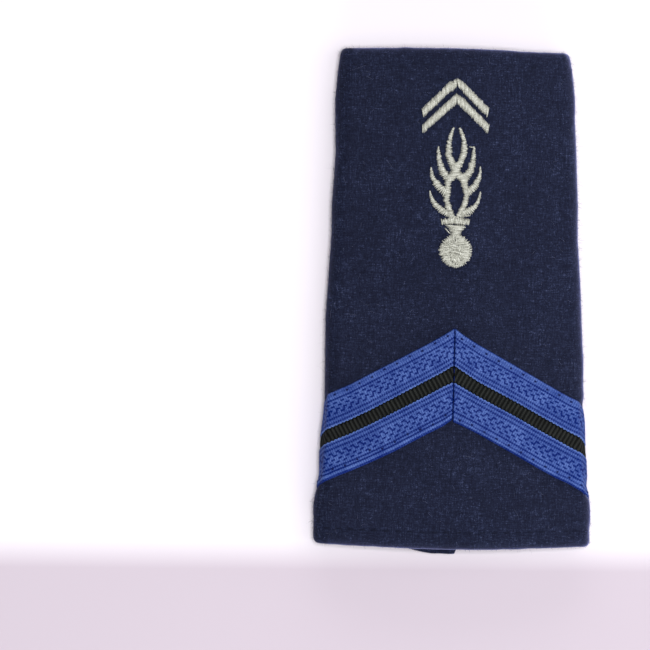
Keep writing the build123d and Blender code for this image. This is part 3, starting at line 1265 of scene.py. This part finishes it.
    def build_lint(self, tints: list[Material]) -> Object:
        """Fibres that lie matted on the front, and a little pale lint."""
        rng = random.Random(self.seed + 1)
        fibres = []
        for _ in range(self.lint_count):
            station = WallStation(rng.uniform(0.8, self.tube.length - 0.8), 0.0, True)
            section = self.tube.section(self.tube.wide_y + station.distance)
            seen = (section.front_length + section.fold_length * 0.6) / section.half_girth
            girth = rng.uniform(-1, 1) * seen
            root = self.surface(girth, station)
            turn = rng.uniform(0, math.tau)
            length = LINT_KIND.draw_length(rng)
            slope = root.x / section.front_radius
            direction = Vector((math.cos(turn), math.sin(turn), -slope * math.cos(turn))) * length
            curl = rng.gauss(0, self.lint_curl)
            bend = Vector((-direction.y * curl, direction.x * curl, 0.0))
            bend.z = -slope * bend.x - self.lint_arch * length
            direction.z += self.lint_arch * length
            fibres.append(Fibre(root, direction, bend, LINT_KIND.draw_radius(rng)))
        return self.lay_fibres(fibres, "matted_fibres", tints, rng)

    def lay_fibres(
        self, fibres: list[Fibre], name: str, tints: list[Material], rng: random.Random
    ) -> Object:
        """Join fibres into one piece, each in one of a few tints.

        Args:
            fibres: The fibres.
            name: The piece's name.
            tints: Their materials, the commonest first.
            rng: The source of the tints' order.

        Returns:
            The finished piece.
        """
        template = self.fibre_template()
        faces = len(template.faces)
        bm = repeat_shape(template, len(fibres), lambda copy, point: fibres[copy].place(point))
        weights = [2.0**-rank for rank in range(len(tints))]
        choice = rng.choices(range(len(tints)), weights, k=len(fibres))
        for index, face in enumerate(bm.faces):
            face.material_index = choice[index // faces]
        return finish_piece(bm, name, Slot.CLOTH, tints)

    def build(self) -> None:
        """Build and dress every piece of the sleeve."""
        self.build_cloth(FeltedWool().make())
        self.build_sewing(SewingThread("navy sewing thread", "#1b2036", "#0c0e18").make())
        self.build_nap([LooseFibre(name, colour).make() for name, colour in LIT_NAP_TINTS.items()])
        self.build_lint([LooseFibre(name, colour).make() for name, colour in LINT_TINTS.items()])


# Braid


# Ribs of the black stripe and the picots of the blue bands beside it share one pitch
TOOTH_PITCH = 0.835


class FreeEdge(NamedTuple):
    """The turned edge of a blue band beside the cloth: its shoulder, dimmed with painted shade, its groove,
    darkened with painted shade, and its sewing.
    """

    shoulder: float
    groove_at: float
    groove_width: float
    groove_shade: float
    sewing_at: float
    wander: float


FREE_EDGES: dict[tuple[str, Side], FreeEdge] = {
    ("outer_band", Side.LEFT): FreeEdge(0.18, 0.62, 0.26, 0.16, 0.70, 0.07),
    ("outer_band", Side.RIGHT): FreeEdge(0.18, 0.80, 0.30, 0.10, 0.80, 0.07),
    ("inner_band", Side.LEFT): FreeEdge(0.50, 1.10, 0.14, 0.66, 1.50, 0.30),
    ("inner_band", Side.RIGHT): FreeEdge(0.42, 0.86, 0.16, 0.34, 1.00, 0.12),
}


@dataclass(frozen=True)
class BandWeave:
    """Weave of a blue band, whose rows are counted from its edge beside the stripe."""

    width: float
    fold: FreeEdge
    line_at: float = 4.95
    dash_rows: tuple[float, ...] = (4.25, 3.62, 3.0, 2.33)
    dash_length: float = 0.85
    dash_width: float = 0.28
    dash_period: float = 1.64
    join_length: float = 0.3
    join_width: float = 0.14
    join_lean: float = 0.35
    ticks_at: tuple[float, ...] = (1.52, 0.67)
    tick_pitch: float = 0.49
    tick_width: float = 0.19
    tick_lean: float = 1.2
    line_width: float = 0.16
    line_shade: float = 0.75
    dash_shade: float = 0.8
    base_shade: float = 0.34
    yarn_shade: float = 0.12
    shoulder_shade: float = 0.42
    picot_reach: float = 0.4
    roll_depth: float = 0.4
    mark_depth: float = 0.07

    def relief(self, along: float, edge: float) -> tuple[float, float]:
        """Height and shade of the weave.

        Args:
            along: Distance along the band.
            edge: Distance from the free edge.

        Returns:
            Height against the band's face, and shade from 0, light, to 1, dark.
        """
        fold = self.fold
        inner = self.width - edge
        roll = max(0.0, 1 - edge / (fold.shoulder + 0.25)) ** 2
        ticks = math.cos(math.tau * along / self.tick_pitch)
        shade = self.base_shade + self.yarn_shade * ticks
        # Painted shade on the shoulder where the free edge turns down, a painted highlight just inside it,
        # and painted shade in the groove.
        shade += self.shoulder_shade * smooth_step((fold.shoulder - edge) / 0.16)
        shade -= 0.08 * bell(edge - fold.shoulder - 0.18, 0.12)
        marks = fold.groove_shade * bell(edge - fold.groove_at, fold.groove_width)
        marks += self.line_shade * bell(inner - self.line_at, self.line_width) * (0.8 + 0.2 * ticks)
        marks += self.dash_shade * max(self.dashes(along, inner), self.joins(along, inner))
        for line_at in self.ticks_at:
            slanted = math.cos(math.tau * (along / self.tick_pitch + self.tick_lean * (inner - line_at)))
            marks += self.line_shade * bell(inner - line_at, self.tick_width) * (0.65 + 0.35 * slanted)
        marks = min(1.0, marks)
        picot = smooth_step((self.picot_reach - inner) / 0.25)
        height = 0.05 * picot * math.cos(math.tau * along / TOOTH_PITCH) - self.roll_depth * roll
        height -= self.mark_depth * marks + 0.02 * ticks
        return height, min(1.0, max(0.0, shade + marks - 0.15 * picot))

    def dashes(self, along: float, inner: float) -> float:
        """Strength of the short dark dashes in their offset rows."""
        strength = 0.0
        for row, row_at in enumerate(self.dash_rows):
            phase = along / self.dash_period + 0.5 * (row % 2)
            local = (phase - round(phase)) * self.dash_period
            window = smooth_step((self.dash_length / 2 + 0.05 - abs(local)) / 0.1)
            strength += window * bell(inner - row_at - 0.1 * local, self.dash_width * 0.5)
        return strength

    def joins(self, along: float, inner: float) -> float:
        """Strength of the steep strokes that join the dashes of the inner rows into hooked figures."""
        middle = (self.dash_rows[-1] + self.dash_rows[-2]) / 2
        phase = along / self.dash_period - 0.25
        local = (phase - round(phase)) * self.dash_period
        window = smooth_step((self.join_length - abs(inner - middle)) / 0.1)
        return window * bell(local + self.join_lean * (inner - middle), self.join_width)


@dataclass(frozen=True)
class StripeWeave:
    """Grosgrain weave of the black stripe: rounded ribs straight across it."""

    width: float
    rib_depth: float = 0.2
    yarn_depth: float = 0.015
    yarn_pitch: float = 0.22
    edge_run: float = 0.3
    edge_drop: float = 0.12

    def relief(self, along: float, edge: float) -> tuple[float, float]:
        """Height and shade of the ribs, as for the blue band."""
        turn = math.cos(math.tau * along / TOOTH_PITCH)
        rib = math.sqrt(max(0.0, 0.5 + 0.5 * turn))
        fade = smooth_step(min(edge, self.width - edge) / self.edge_run)
        yarn = self.yarn_depth * math.cos(math.tau * edge / self.yarn_pitch)
        height = -self.rib_depth * (1 - rib) + yarn - self.edge_drop * (1 - fade)
        # Painted shade in the hollows between the ribs and on the edges where they drop.
        return height, min(1.0, 0.15 + 0.85 * (1 - rib) + 0.4 * (1 - fade))


@dataclass(frozen=True)
class Strip:
    """One strip of the braid: its edges, counted from the braid's upper edge, and its weave."""

    name: str
    near: float
    far: float
    thickness: float
    free_near: bool
    weave: BandWeave | StripeWeave


@dataclass(frozen=True)
class Braid:
    """The mitred braid: on each side two blue bands with a black stripe between them."""

    tube: Tube
    course: BraidCourse
    band_thickness: float = 0.75
    stripe_thickness: float = 0.66
    seat: float = 0.15
    band_gap: float = 0.06
    mitre_gap: float = 0.06
    back_reach: float = 1.6
    across_step: float = 0.1
    along_steps: int = 400
    tooth_reach: float = 0.2
    mitre_run: float = 0.12
    mitre_fall: float = 0.25
    sewing_pitch: float = 2.8
    sewing_half: float = 0.3
    mitre_pitch: float = 1.5
    mitre_stitch_half: float = 0.58
    seed: int = 5

    def strips(self, side: Side) -> list[Strip]:
        """The three strips of a leg from the upper edge down."""
        course = self.course
        first = course.outer_width
        second = first + course.stripe_width
        half = self.band_gap / 2
        outer = BandWeave(first, FREE_EDGES["outer_band", side])
        stripe = StripeWeave(course.stripe_width)
        inner = BandWeave(course.inner_width, FREE_EDGES["inner_band", side])
        return [
            Strip("outer_band", 0.0, first - half, self.band_thickness, True, outer),
            Strip("black_stripe", first + half, second - half, self.stripe_thickness, True, stripe),
            Strip("inner_band", second + half, course.width, self.band_thickness, False, inner),
        ]

    def reach_span(self, side: Side, across: float) -> tuple[float, float]:
        """Find where a line along the braid starts and ends.

        Args:
            side: The leg.
            across: The line's distance from the upper edge.

        Returns:
            Distances from the crown, round the tube, of the mitre and of the end under the fold.
        """
        left, right = self.course.angle(Side.LEFT), self.course.angle(Side.RIGHT)
        mitre_at = self.course.mitre_x - across / math.cos((left + right) / 2) * math.sin((right - left) / 2)
        start = side.value * mitre_at + self.mitre_gap / 2
        end = 30.0
        for _ in range(4):
            section = self.tube.section(self.course.height_at(side, across, end))
            end = section.front_length + section.fold_length + self.back_reach
        return start, end

    def on_braid(self, side: Side, across: float, reach: float, lift: float) -> Vector:
        """Point over the cloth, placed by its distances across and along the braid."""
        y = self.course.height_at(side, across, reach)
        section = self.tube.section(y)
        turn = section.point(reach, 0.0)[2]
        x, z, _ = section.point(reach, self.course.sink_at(turn) - lift)
        return Vector((side.value * (x + self.tube.proud_at(y, side, turn)), y, z))

    def build_strip(self, strip: Strip, side: Side, material: Material) -> Object:
        """Weave one strip from a grid that wraps round its own section and along its leg."""
        width = strip.far - strip.near
        count = round(width / self.across_step)
        top = [(step / count, 1.0) for step in range(count + 1)]
        profile = [(0.0, 0.0), (0.0, 0.5), *top, (1.0, 0.5), (1.0, 0.0), (0.66, 0.0), (0.33, 0.0), (0.0, 0.0)]
        bm = bmesh.new()
        layers = {name: bm.verts.layers.float.new(name) for name in ("shade", "along", "across")}
        bmesh.ops.create_grid(bm, x_segments=self.along_steps, y_segments=len(profile) - 1, size=1.0)
        spans = [self.reach_span(side, strip.near + share * width) for share, _ in profile]
        angle = self.course.angle(side)
        for vert in bm.verts:
            row = round((vert.co.y + 1) / 2 * (len(profile) - 1))
            share, level = profile[row]
            start, end = spans[row]
            along_share = (vert.co.x + 1) / 2
            reach = start + (end - start) * along_share
            across = strip.near + share * width
            run = reach - side.value * self.course.mitre_x
            along = run / math.cos(angle) + across * math.tan(angle)
            edge = share * width if strip.free_near else (1 - share) * width
            height, shade = strip.weave.relief(along, edge)
            fall = bell(reach - start, self.mitre_run)
            lift = self.seat + level * (strip.thickness + height - self.mitre_fall * fall)
            across += self.teeth(strip, share, along, level)
            # Painted shade where the strip's end falls into the valley of the mitre.
            vert[layers["shade"]] = min(1.0, shade + 0.5 * fall)
            vert[layers["along"]] = along
            vert[layers["across"]] = edge
            vert.co = self.on_braid(side, across, reach, lift)
        bmesh.ops.remove_doubles(bm, verts=bm.verts, dist=0.0005)
        open_edges = [edge for edge in bm.edges if edge.is_boundary]
        bmesh.ops.holes_fill(bm, edges=open_edges, sides=0)
        bmesh.ops.recalc_face_normals(bm, faces=bm.faces)
        slot = Slot.BLACK if isinstance(strip.weave, StripeWeave) else Slot.BLUE
        node = f"{strip.name}_{side.label}"
        return finish_piece(bm, f"{node}_weave", slot, [material], (node,))

    def teeth(self, strip: Strip, share: float, along: float, level: float) -> float:
        """How far the toothed edges beside the stripe move a point across the braid."""
        wave = self.tooth_reach * (0.5 + 0.5 * math.cos(math.tau * along / TOOTH_PITCH)) * level
        if isinstance(strip.weave, StripeWeave):
            return wave * (smooth_step((share - 0.8) / 0.2) - smooth_step((0.2 - share) / 0.2))
        if strip.free_near:
            return -wave * smooth_step((share - 0.95) / 0.05)
        return wave * smooth_step((0.05 - share) / 0.05)

    def build_sewing(self, thread: Material) -> Object:
        """Stitches that hold the braid down along both free edges, and close the mitre."""
        rng = random.Random(self.seed)
        stitches = []
        face = self.seat + self.band_thickness
        width = self.course.width
        for side in Side:
            for band, free_edge, inward in (("outer_band", 0.0, 1), ("inner_band", width, -1)):
                fold = FREE_EDGES[band, side]
                start, end = self.reach_span(side, free_edge)
                run = self.sewing_pitch * math.cos(self.course.angle(side))
                for number in range(int((end - start) / run)):
                    across = free_edge + inward * (fold.sewing_at + rng.gauss(0, fold.wander))
                    reach = start + (number + 0.55) * run
                    start_at, end_at = (
                        self.on_braid(side, across, reach + half, face - 0.02)
                        for half in (-self.sewing_half, self.sewing_half)
                    )
                    low, high = (self.on_braid(side, across, reach, face + lift) for lift in (0, 1))
                    up = (high - low).normalized()
                    stitches.append(Stitch(start_at, end_at, up, 0.36, 0.22, arch=0.05, sink=0.2))
        count = int(width / math.cos(self.course.angle(Side.RIGHT)) / self.mitre_pitch)
        up = Vector((0, 0, 1))
        for number in range(count):
            across = (number + 0.5) * width / count
            middle, _ = self.reach_span(Side.RIGHT, across)
            point = self.on_braid(Side.RIGHT, across, middle + rng.gauss(0, 0.05), face - 0.16)
            half = Vector((rng.gauss(0.06, 0.06), 1.0, 0.0)).normalized() * self.mitre_stitch_half
            stitches.append(Stitch(point - half, point + half, up, 0.2, 0.2, arch=0.06, sink=0.2))
        return finish_piece(ThreadMesh(cuts=3).sew(stitches), "braid_sewing", Slot.BLUE, [thread])

    def build(self) -> None:
        """Build and dress both legs and their sewing."""
        blue = BraidYarn("royal blue rayon braid", "#5f78b8", "#334a8c", "#001860").make()
        black = BraidYarn("black grosgrain", "#2a2c29", "#191b1b", "#080908", roughness=0.6).make()
        for side in Side:
            for strip in self.strips(side):
                dye = black if isinstance(strip.weave, StripeWeave) else blue
                self.build_strip(strip, side, dye)
        self.build_sewing(SewingThread("deep blue sewing thread", "#12215e", "#060d36").make())


# Emblem


class Span(NamedTuple):
    """Two facing edges of a sewn shape, between which its stitches run."""

    outer_x: float
    outer_y: float
    inner_x: float
    inner_y: float


FLAME_CHART: dict[str, tuple[Span, ...]] = {
    "flame_tongue_left_1": (
        Span(-3.14, 30.58, -2.87, 30.58),
        Span(-3.37, 29.18, -2.62, 29.48),
        Span(-3.36, 27.79, -2.29, 27.99),
        Span(-3.07, 26.40, -1.72, 26.40),
        Span(-2.78, 25.00, -1.05, 25.40),
        Span(-1.95, 23.85, -0.35, 24.80),
    ),
    "flame_tongue_left_2": (
        Span(-4.58, 26.40, -4.32, 26.40),
        Span(-4.63, 25.20, -4.02, 25.50),
        Span(-4.50, 24.01, -3.49, 24.30),
        Span(-4.02, 22.81, -2.69, 23.51),
        Span(-3.17, 21.71, -1.88, 22.71),
        Span(-1.96, 20.42, -1.28, 22.21),
    ),
    "flame_tongue_left_3": (
        Span(-4.74, 21.75, -4.51, 21.75),
        Span(-4.68, 20.62, -4.14, 20.72),
        Span(-4.45, 19.52, -3.45, 19.76),
        Span(-3.84, 18.43, -2.65, 18.83),
        Span(-2.84, 17.43, -1.65, 18.33),
        Span(-1.44, 16.64, -0.55, 17.83),
        Span(-0.44, 16.24, 0.25, 17.03),
    ),
    "flame_tongue_right_1": (
        Span(4.21, 30.58, 3.83, 30.58),
        Span(4.42, 29.38, 3.66, 29.38),
        Span(4.41, 27.99, 3.45, 27.99),
        Span(4.36, 26.60, 3.02, 26.79),
        Span(4.02, 25.40, 2.55, 25.80),
        Span(3.20, 24.10, 1.75, 25.00),
    ),
    "flame_tongue_right_2": (
        Span(5.45, 26.60, 5.22, 26.60),
        Span(5.58, 25.30, 5.03, 25.50),
        Span(5.48, 24.01, 4.58, 24.30),
        Span(5.05, 22.61, 3.89, 23.41),
        Span(4.20, 21.52, 3.10, 22.71),
        Span(3.02, 20.42, 2.30, 22.21),
    ),
    "flame_tongue_right_3": (
        Span(5.50, 21.62, 5.30, 21.62),
        Span(5.49, 20.42, 4.91, 20.52),
        Span(5.23, 19.42, 4.48, 19.56),
        Span(4.63, 18.23, 3.73, 18.77),
        Span(3.84, 17.23, 2.83, 18.55),
        Span(2.55, 16.64, 1.94, 18.13),
        Span(1.55, 16.34, 1.05, 17.23),
    ),
}

CORE_CHART: tuple[tuple[Span, ...], ...] = (
    (
        Span(-0.15, 34.40, 0.21, 34.30),
        Span(-0.89, 33.07, -0.08, 33.17),
        Span(-1.34, 31.58, -0.32, 31.58),
        Span(-1.63, 29.98, -0.37, 29.98),
        Span(-1.57, 28.59, -0.14, 28.49),
        Span(-1.02, 27.19, 0.47, 27.49),
        Span(-0.62, 26.00, 0.97, 26.50),
    ),
    (
        Span(1.47, 34.30, 0.91, 34.30),
        Span(2.08, 32.97, 1.26, 32.97),
        Span(2.60, 31.58, 1.59, 31.58),
        Span(2.82, 30.08, 1.52, 30.08),
        Span(2.61, 28.69, 1.21, 28.79),
        Span(1.98, 27.19, 0.67, 27.59),
        Span(1.57, 26.20, 0.17, 26.69),
    ),
    (
        Span(0.37, 27.39, 0.97, 27.39),
        Span(-0.78, 26.75, 1.72, 26.75),
        Span(-0.58, 26.15, 1.35, 26.15),
        Span(-0.55, 25.55, 1.50, 25.55),
        Span(-1.10, 24.90, 2.25, 24.90),
    ),
    (
        Span(-1.60, 25.00, 1.00, 25.10),
        Span(-2.05, 24.40, 0.95, 24.60),
        Span(-1.69, 23.61, -0.26, 23.61),
        Span(-1.84, 22.61, -0.39, 22.61),
        Span(-1.92, 21.62, -0.48, 21.62),
        Span(-1.95, 20.62, -0.67, 20.62),
        Span(-1.88, 19.62, -0.62, 19.52),
        Span(-1.65, 18.43, -0.26, 18.43),
        Span(-0.94, 17.23, 0.19, 17.33),
        Span(-0.14, 16.34, 0.66, 16.54),
    ),
    (
        Span(2.60, 25.00, 0.30, 25.10),
        Span(3.05, 24.40, 0.20, 24.60),
        Span(2.84, 23.61, 1.40, 23.61),
        Span(3.00, 22.61, 1.62, 22.61),
        Span(3.11, 21.42, 1.97, 21.42),
        Span(3.15, 20.42, 1.96, 20.32),
        Span(2.89, 19.22, 1.65, 19.22),
        Span(2.44, 18.13, 1.20, 18.13),
        Span(1.75, 17.03, 0.81, 17.27),
        Span(1.06, 16.34, 0.46, 16.54),
    ),
)

# Upright stitches, longest in the middle, where the flames meet the collar
COLLAR_CHART: tuple[Span, ...] = (
    Span(-2.32, 16.25, -2.28, 14.95),
    Span(-1.20, 16.25, -1.20, 14.95),
    Span(-0.60, 16.70, -0.60, 14.95),
    Span(1.60, 16.70, 1.60, 14.95),
    Span(2.20, 16.25, 2.20, 14.95),
    Span(3.32, 16.20, 3.28, 14.95),
)

# Level stitches, shorter towards the ball
NECK_CHART: tuple[Span, ...] = (
    Span(-1.70, 14.88, 2.60, 14.88),
    Span(-1.25, 14.50, 2.50, 14.50),
    Span(-0.85, 14.10, 2.20, 14.10),
    Span(-0.65, 13.60, 1.70, 13.60),
    Span(-0.60, 12.90, 1.65, 12.90),
)

# Loose ends of thread that cross between the shapes: start, end and height
STRAYS: tuple[tuple[tuple[float, float], tuple[float, float], float], ...] = (
    ((3.03, 30.54), (3.93, 30.42), 0.25),
    ((2.45, 16.75), (3.46, 16.87), 0.45),
    ((-1.62, 14.40), (-0.57, 13.25), 0.2),
)

CHEVRON_CHART: dict[str, tuple[tuple[Span, ...], ...]] = {
    "upper_chevron": (
        (Span(0.62, 44.18, 0.48, 42.22), Span(-1.06, 43.32, -1.10, 41.05), Span(-6.33, 38.20, -6.05, 36.30)),
        (Span(0.56, 44.26, 0.76, 42.38), Span(1.93, 43.42, 2.03, 41.04), Span(6.90, 38.48, 6.65, 36.42)),
    ),
    "lower_chevron": (
        (Span(0.50, 41.22, 0.48, 38.98), Span(-1.03, 39.87, -1.08, 37.58), Span(-6.30, 34.85, -6.10, 33.12)),
        (Span(0.44, 41.22, 0.72, 38.95), Span(1.96, 40.22, 2.04, 37.68), Span(7.00, 35.08, 6.80, 33.15)),
    ),
}


@dataclass(frozen=True)
class Emblem:
    """Silver embroidery: two chevrons over a flaming grenade, all in satin stitch."""

    tube: Tube
    pitch: float = 0.17
    width: float = 0.27
    thickness: float = 0.28
    arch_share: float = 0.16
    arch_most: float = 0.34
    sink_share: float = 0.14
    sink_most: float = 0.2
    ragged: float = 0.07
    core_lift: float = 0.18
    collar_lift: float = 0.16
    chart_x: float = -0.38
    ball_x: float = 0.55
    ball_y: float = 9.83
    ball_radius: float = 3.28
    ball_rise: float = 0.55
    ball_foot: float = 0.1
    ball_tall: float = 1.02
    ball_inset: float = 0.35
    ball_rings: tuple[tuple[float, float, int], ...] = ((1.2, 2.45, 46), (1.95, 3.27, 76))
    ball_seeds: int = 130
    seeds_radius: float = 1.9
    seed: int = 3

    def stitch(
        self, start: tuple[float, float], end: tuple[float, float], lift: float, rng: random.Random
    ) -> Stitch:
        """Lay one stitch over the front.

        Args:
            start: One end, as places across and along the tube.
            end: The other end.
            lift: Height of the padding under its ends.
            rng: The source of its unevenness.

        Returns:
            The stitch.
        """
        first, last = (self.tube.front(x + self.chart_x, y, lift) for x, y in (start, end))
        width = self.width * rng.uniform(0.85, 1.12)
        length = (last - first).length
        arch = min(self.arch_most, self.arch_share * length) + rng.uniform(0.02, 0.10)
        sink = min(self.sink_most, self.sink_share * length)
        return Stitch(first, last, Vector((0, 0, 1)), width, self.thickness, arch, sink)

    def satin(self, chart: tuple[Span, ...], rng: random.Random, lift: float = 0.12) -> list[Stitch]:
        """Fill a shape with stitches side by side, between its two charted edges.

        Args:
            chart: The shape's edges.
            rng: The source of its unevenness.
            lift: Height of the padding.

        Returns:
            The stitches in order.
        """
        stitches = []
        for before, after in zip(chart, chart[1:]):
            outer_run, inner_run = math.dist(before[:2], after[:2]), math.dist(before[2:], after[2:])
            count = max(2, round((outer_run + inner_run) / 2 / self.pitch))
            holes = []
            for number in range(count + 1):
                share = (number + rng.uniform(-0.2, 0.2)) / count
                ox, oy, ix, iy = (a + (b - a) * share for a, b in zip(before, after))
                run = Vector((ix - ox, iy - oy))
                away = rng.gauss(0, self.ragged) * min(1.0, run.length)
                run.normalize()
                x, y, way = (ix, iy, 1) if number % 2 else (ox, oy, -1)
                holes.append((x + way * run.x * away, y + way * run.y * away))
            for start, end in zip(holes, holes[1:]):
                stitches.append(self.stitch(start, end, lift + rng.uniform(-0.03, 0.05), rng))
        return stitches

    def on_ball(self, dx: float, dy: float) -> tuple[float, float]:
        """Place on the front at a distance across and along from the ball's middle."""
        return self.ball_x + dx, self.ball_y + dy

    def dome(self, radius: float) -> float:
        """Height of the ball's padding at a distance from its middle."""
        share = min(1.0, radius / self.ball_radius)
        return self.ball_foot + self.ball_rise * math.sqrt(max(0.0, 1 - share**2))

    def ball(self, rng: random.Random) -> list[Stitch]:
        """Padded ball: level stitches, two rings that point to its middle, and short ones over its top."""
        stitches = []
        rows = int(2 * self.ball_radius / (0.75 * self.pitch))
        for row in range(rows):
            dy = -self.ball_radius + (row + 0.5) * 2 * self.ball_radius / rows
            half = math.sqrt(max(0.0, self.ball_radius**2 - dy**2)) - self.ball_inset
            if half < 0.4:
                continue
            cuts = [-half]
            while cuts[-1] < half - 1.2:
                cuts.append(min(half, cuts[-1] + rng.uniform(1.2, 2.2)))
            cuts[-1] = half
            for left, right in zip(cuts, cuts[1:]):
                end = self.on_ball(right, dy + rng.gauss(0, 0.06))
                lift = self.dome(math.hypot((left + right) / 2, dy))
                stitches.append(self.stitch(self.on_ball(left, dy), end, lift, rng))
        for inner, outer, count in self.ball_rings:
            for number in range(count):
                turn = math.tau * (number + rng.uniform(-0.5, 0.5)) / count
                far = outer + rng.gauss(0, 0.08)
                near = inner + rng.gauss(0, 0.2)
                lean = turn + rng.gauss(0, 0.05)
                start = self.on_ball(far * math.cos(turn), far * self.ball_tall * math.sin(turn))
                end = self.on_ball(near * math.cos(lean), near * math.sin(lean))
                stitches.append(self.stitch(start, end, self.dome((far + near) / 2) + 0.05, rng))
        for _ in range(self.ball_seeds):
            radius, turn = self.seeds_radius * math.sqrt(rng.random()), rng.uniform(0, math.tau)
            lean, half = rng.uniform(0, math.tau), rng.uniform(0.25, 0.4)
            x, y = radius * math.cos(turn), radius * math.sin(turn)
            dx, dy = half * math.cos(lean), half * math.sin(lean)
            start, end = self.on_ball(x - dx, y - dy), self.on_ball(x + dx, y + dy)
            stitches.append(self.stitch(start, end, self.dome(radius) + 0.16, rng))
        return stitches

    def sew_piece(self, node: str, stitches: list[Stitch], thread: Material) -> None:
        """Make the stitches of one solid into the piece that replaces it."""
        finish_piece(ThreadMesh().sew(stitches), f"{node}_threads", Slot.THREAD, [thread], (node,))

    def build(self) -> None:
        """Build and dress every piece of the emblem."""
        thread = EmbroideryThread().make()
        rng = random.Random(self.seed)
        for node, legs in CHEVRON_CHART.items():
            self.sew_piece(node, [s for leg in legs for s in self.satin(leg, rng)], thread)
        for node, chart in FLAME_CHART.items():
            self.sew_piece(node, self.satin(chart, rng), thread)
        core = [s for chart in CORE_CHART for s in self.satin(chart, rng, self.core_lift)]
        core += [self.stitch(*stray, rng) for stray in STRAYS]
        self.sew_piece("flame_core", core, thread)
        self.sew_piece("grenade_collar", self.satin(COLLAR_CHART, rng, self.collar_lift), thread)
        self.sew_piece("grenade_neck", self.satin(NECK_CHART, rng), thread)
        self.sew_piece("grenade_ball", self.ball(rng), thread)


# Studio


@dataclass(frozen=True)
class Studio:
    """Pale floor, soft lights and the camera straight above."""

    front_height: float = 6.0
    pixels_per_mm: float = 5.02
    centre_x: float = -25.64
    centre_y: float = -5.09
    roll: float = 0.4715
    lens: float = 400.0
    sensor: float = 36.0
    floor_side: float = 1400.0

    def build_floor(self) -> None:
        """Lay the paper that the slide lies on."""
        bm = bmesh.new()
        bmesh.ops.create_grid(bm, x_segments=8, y_segments=8, size=self.floor_side * MM / 2)
        mesh = bpy.data.meshes.new("paper_floor")
        bm.to_mesh(mesh)
        bm.free()
        mesh.materials.append(StudioPaper().make())
        floor = bpy.data.objects.new("paper_floor", mesh)
        bpy.context.scene.collection.objects.link(floor)

    def build_camera(self) -> None:
        """Set the camera over the photograph's middle, at its scale on the front of the slide."""
        camera = bpy.data.cameras.new("camera")
        camera.lens = self.lens
        camera.sensor_width = self.sensor
        frame_width = PHOTO_SIDE / self.pixels_per_mm
        distance = frame_width * self.lens / self.sensor
        holder = bpy.data.objects.new("camera", camera)
        holder.location = (self.centre_x * MM, self.centre_y * MM, (self.front_height + distance) * MM)
        holder.rotation_euler = (0.0, 0.0, math.radians(self.roll))
        camera.clip_start = 0.01
        camera.clip_end = 10.0
        bpy.context.scene.collection.objects.link(holder)
        bpy.context.scene.camera = holder

    def add_light(self, name: str, place: tuple[float, float, float], side: float, power: float) -> None:
        """Hang a soft square light that looks at the slide.

        Args:
            name: The light's name.
            place: Its place in metres.
            side: Its side in metres.
            power: Its power in watts.
        """
        light = bpy.data.lights.new(name, "AREA")
        light.shape = "SQUARE"
        light.size = side
        light.energy = power
        holder = bpy.data.objects.new(name, light)
        holder.location = place
        holder.rotation_euler = (-Vector(place)).to_track_quat("-Z", "Y").to_euler()
        bpy.context.scene.collection.objects.link(holder)

    def build_lights(self) -> None:
        """Light the slide: a small lamp overhead, a broad one to the right, and low ones at three sides."""
        self.add_light("overhead", (0.04, 0.0, 1.2), 0.25, 9.8)
        self.add_light("key", (0.35, 0.0, 0.8), 0.8, 2.7)
        self.add_light("side", (0.8, 0.05, 0.1), 0.3, 1.8)
        self.add_light("near_side", (0.1, -0.6, 0.1), 0.6, 3.6)
        self.add_light("far_side", (0.0, 0.6, 0.1), 0.6, 2.6)
        world = bpy.data.worlds.new("tent")
        world.use_nodes = True
        background = world.node_tree.nodes["Background"]
        background.inputs["Color"].default_value = linear("#fbf8ff")
        background.inputs["Strength"].default_value = 0.06
        bpy.context.scene.world = world

    def build(self) -> None:
        """Build the whole studio."""
        scene = bpy.context.scene
        scene.view_settings.view_transform = "Standard"
        self.build_camera()
        self.build_floor()
        self.build_lights()


def main() -> None:
    """Build the slide round its frame, light it and log the faces of each piece."""
    logging.basicConfig(level=logging.INFO, format="%(message)s")
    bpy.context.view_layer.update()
    tube = Tube()
    course = BraidCourse()
    Studio().build()
    Sleeve(tube, course).build()
    Braid(tube, course).build()
    Emblem(tube).build()


if __name__ == "__main__":
    main()
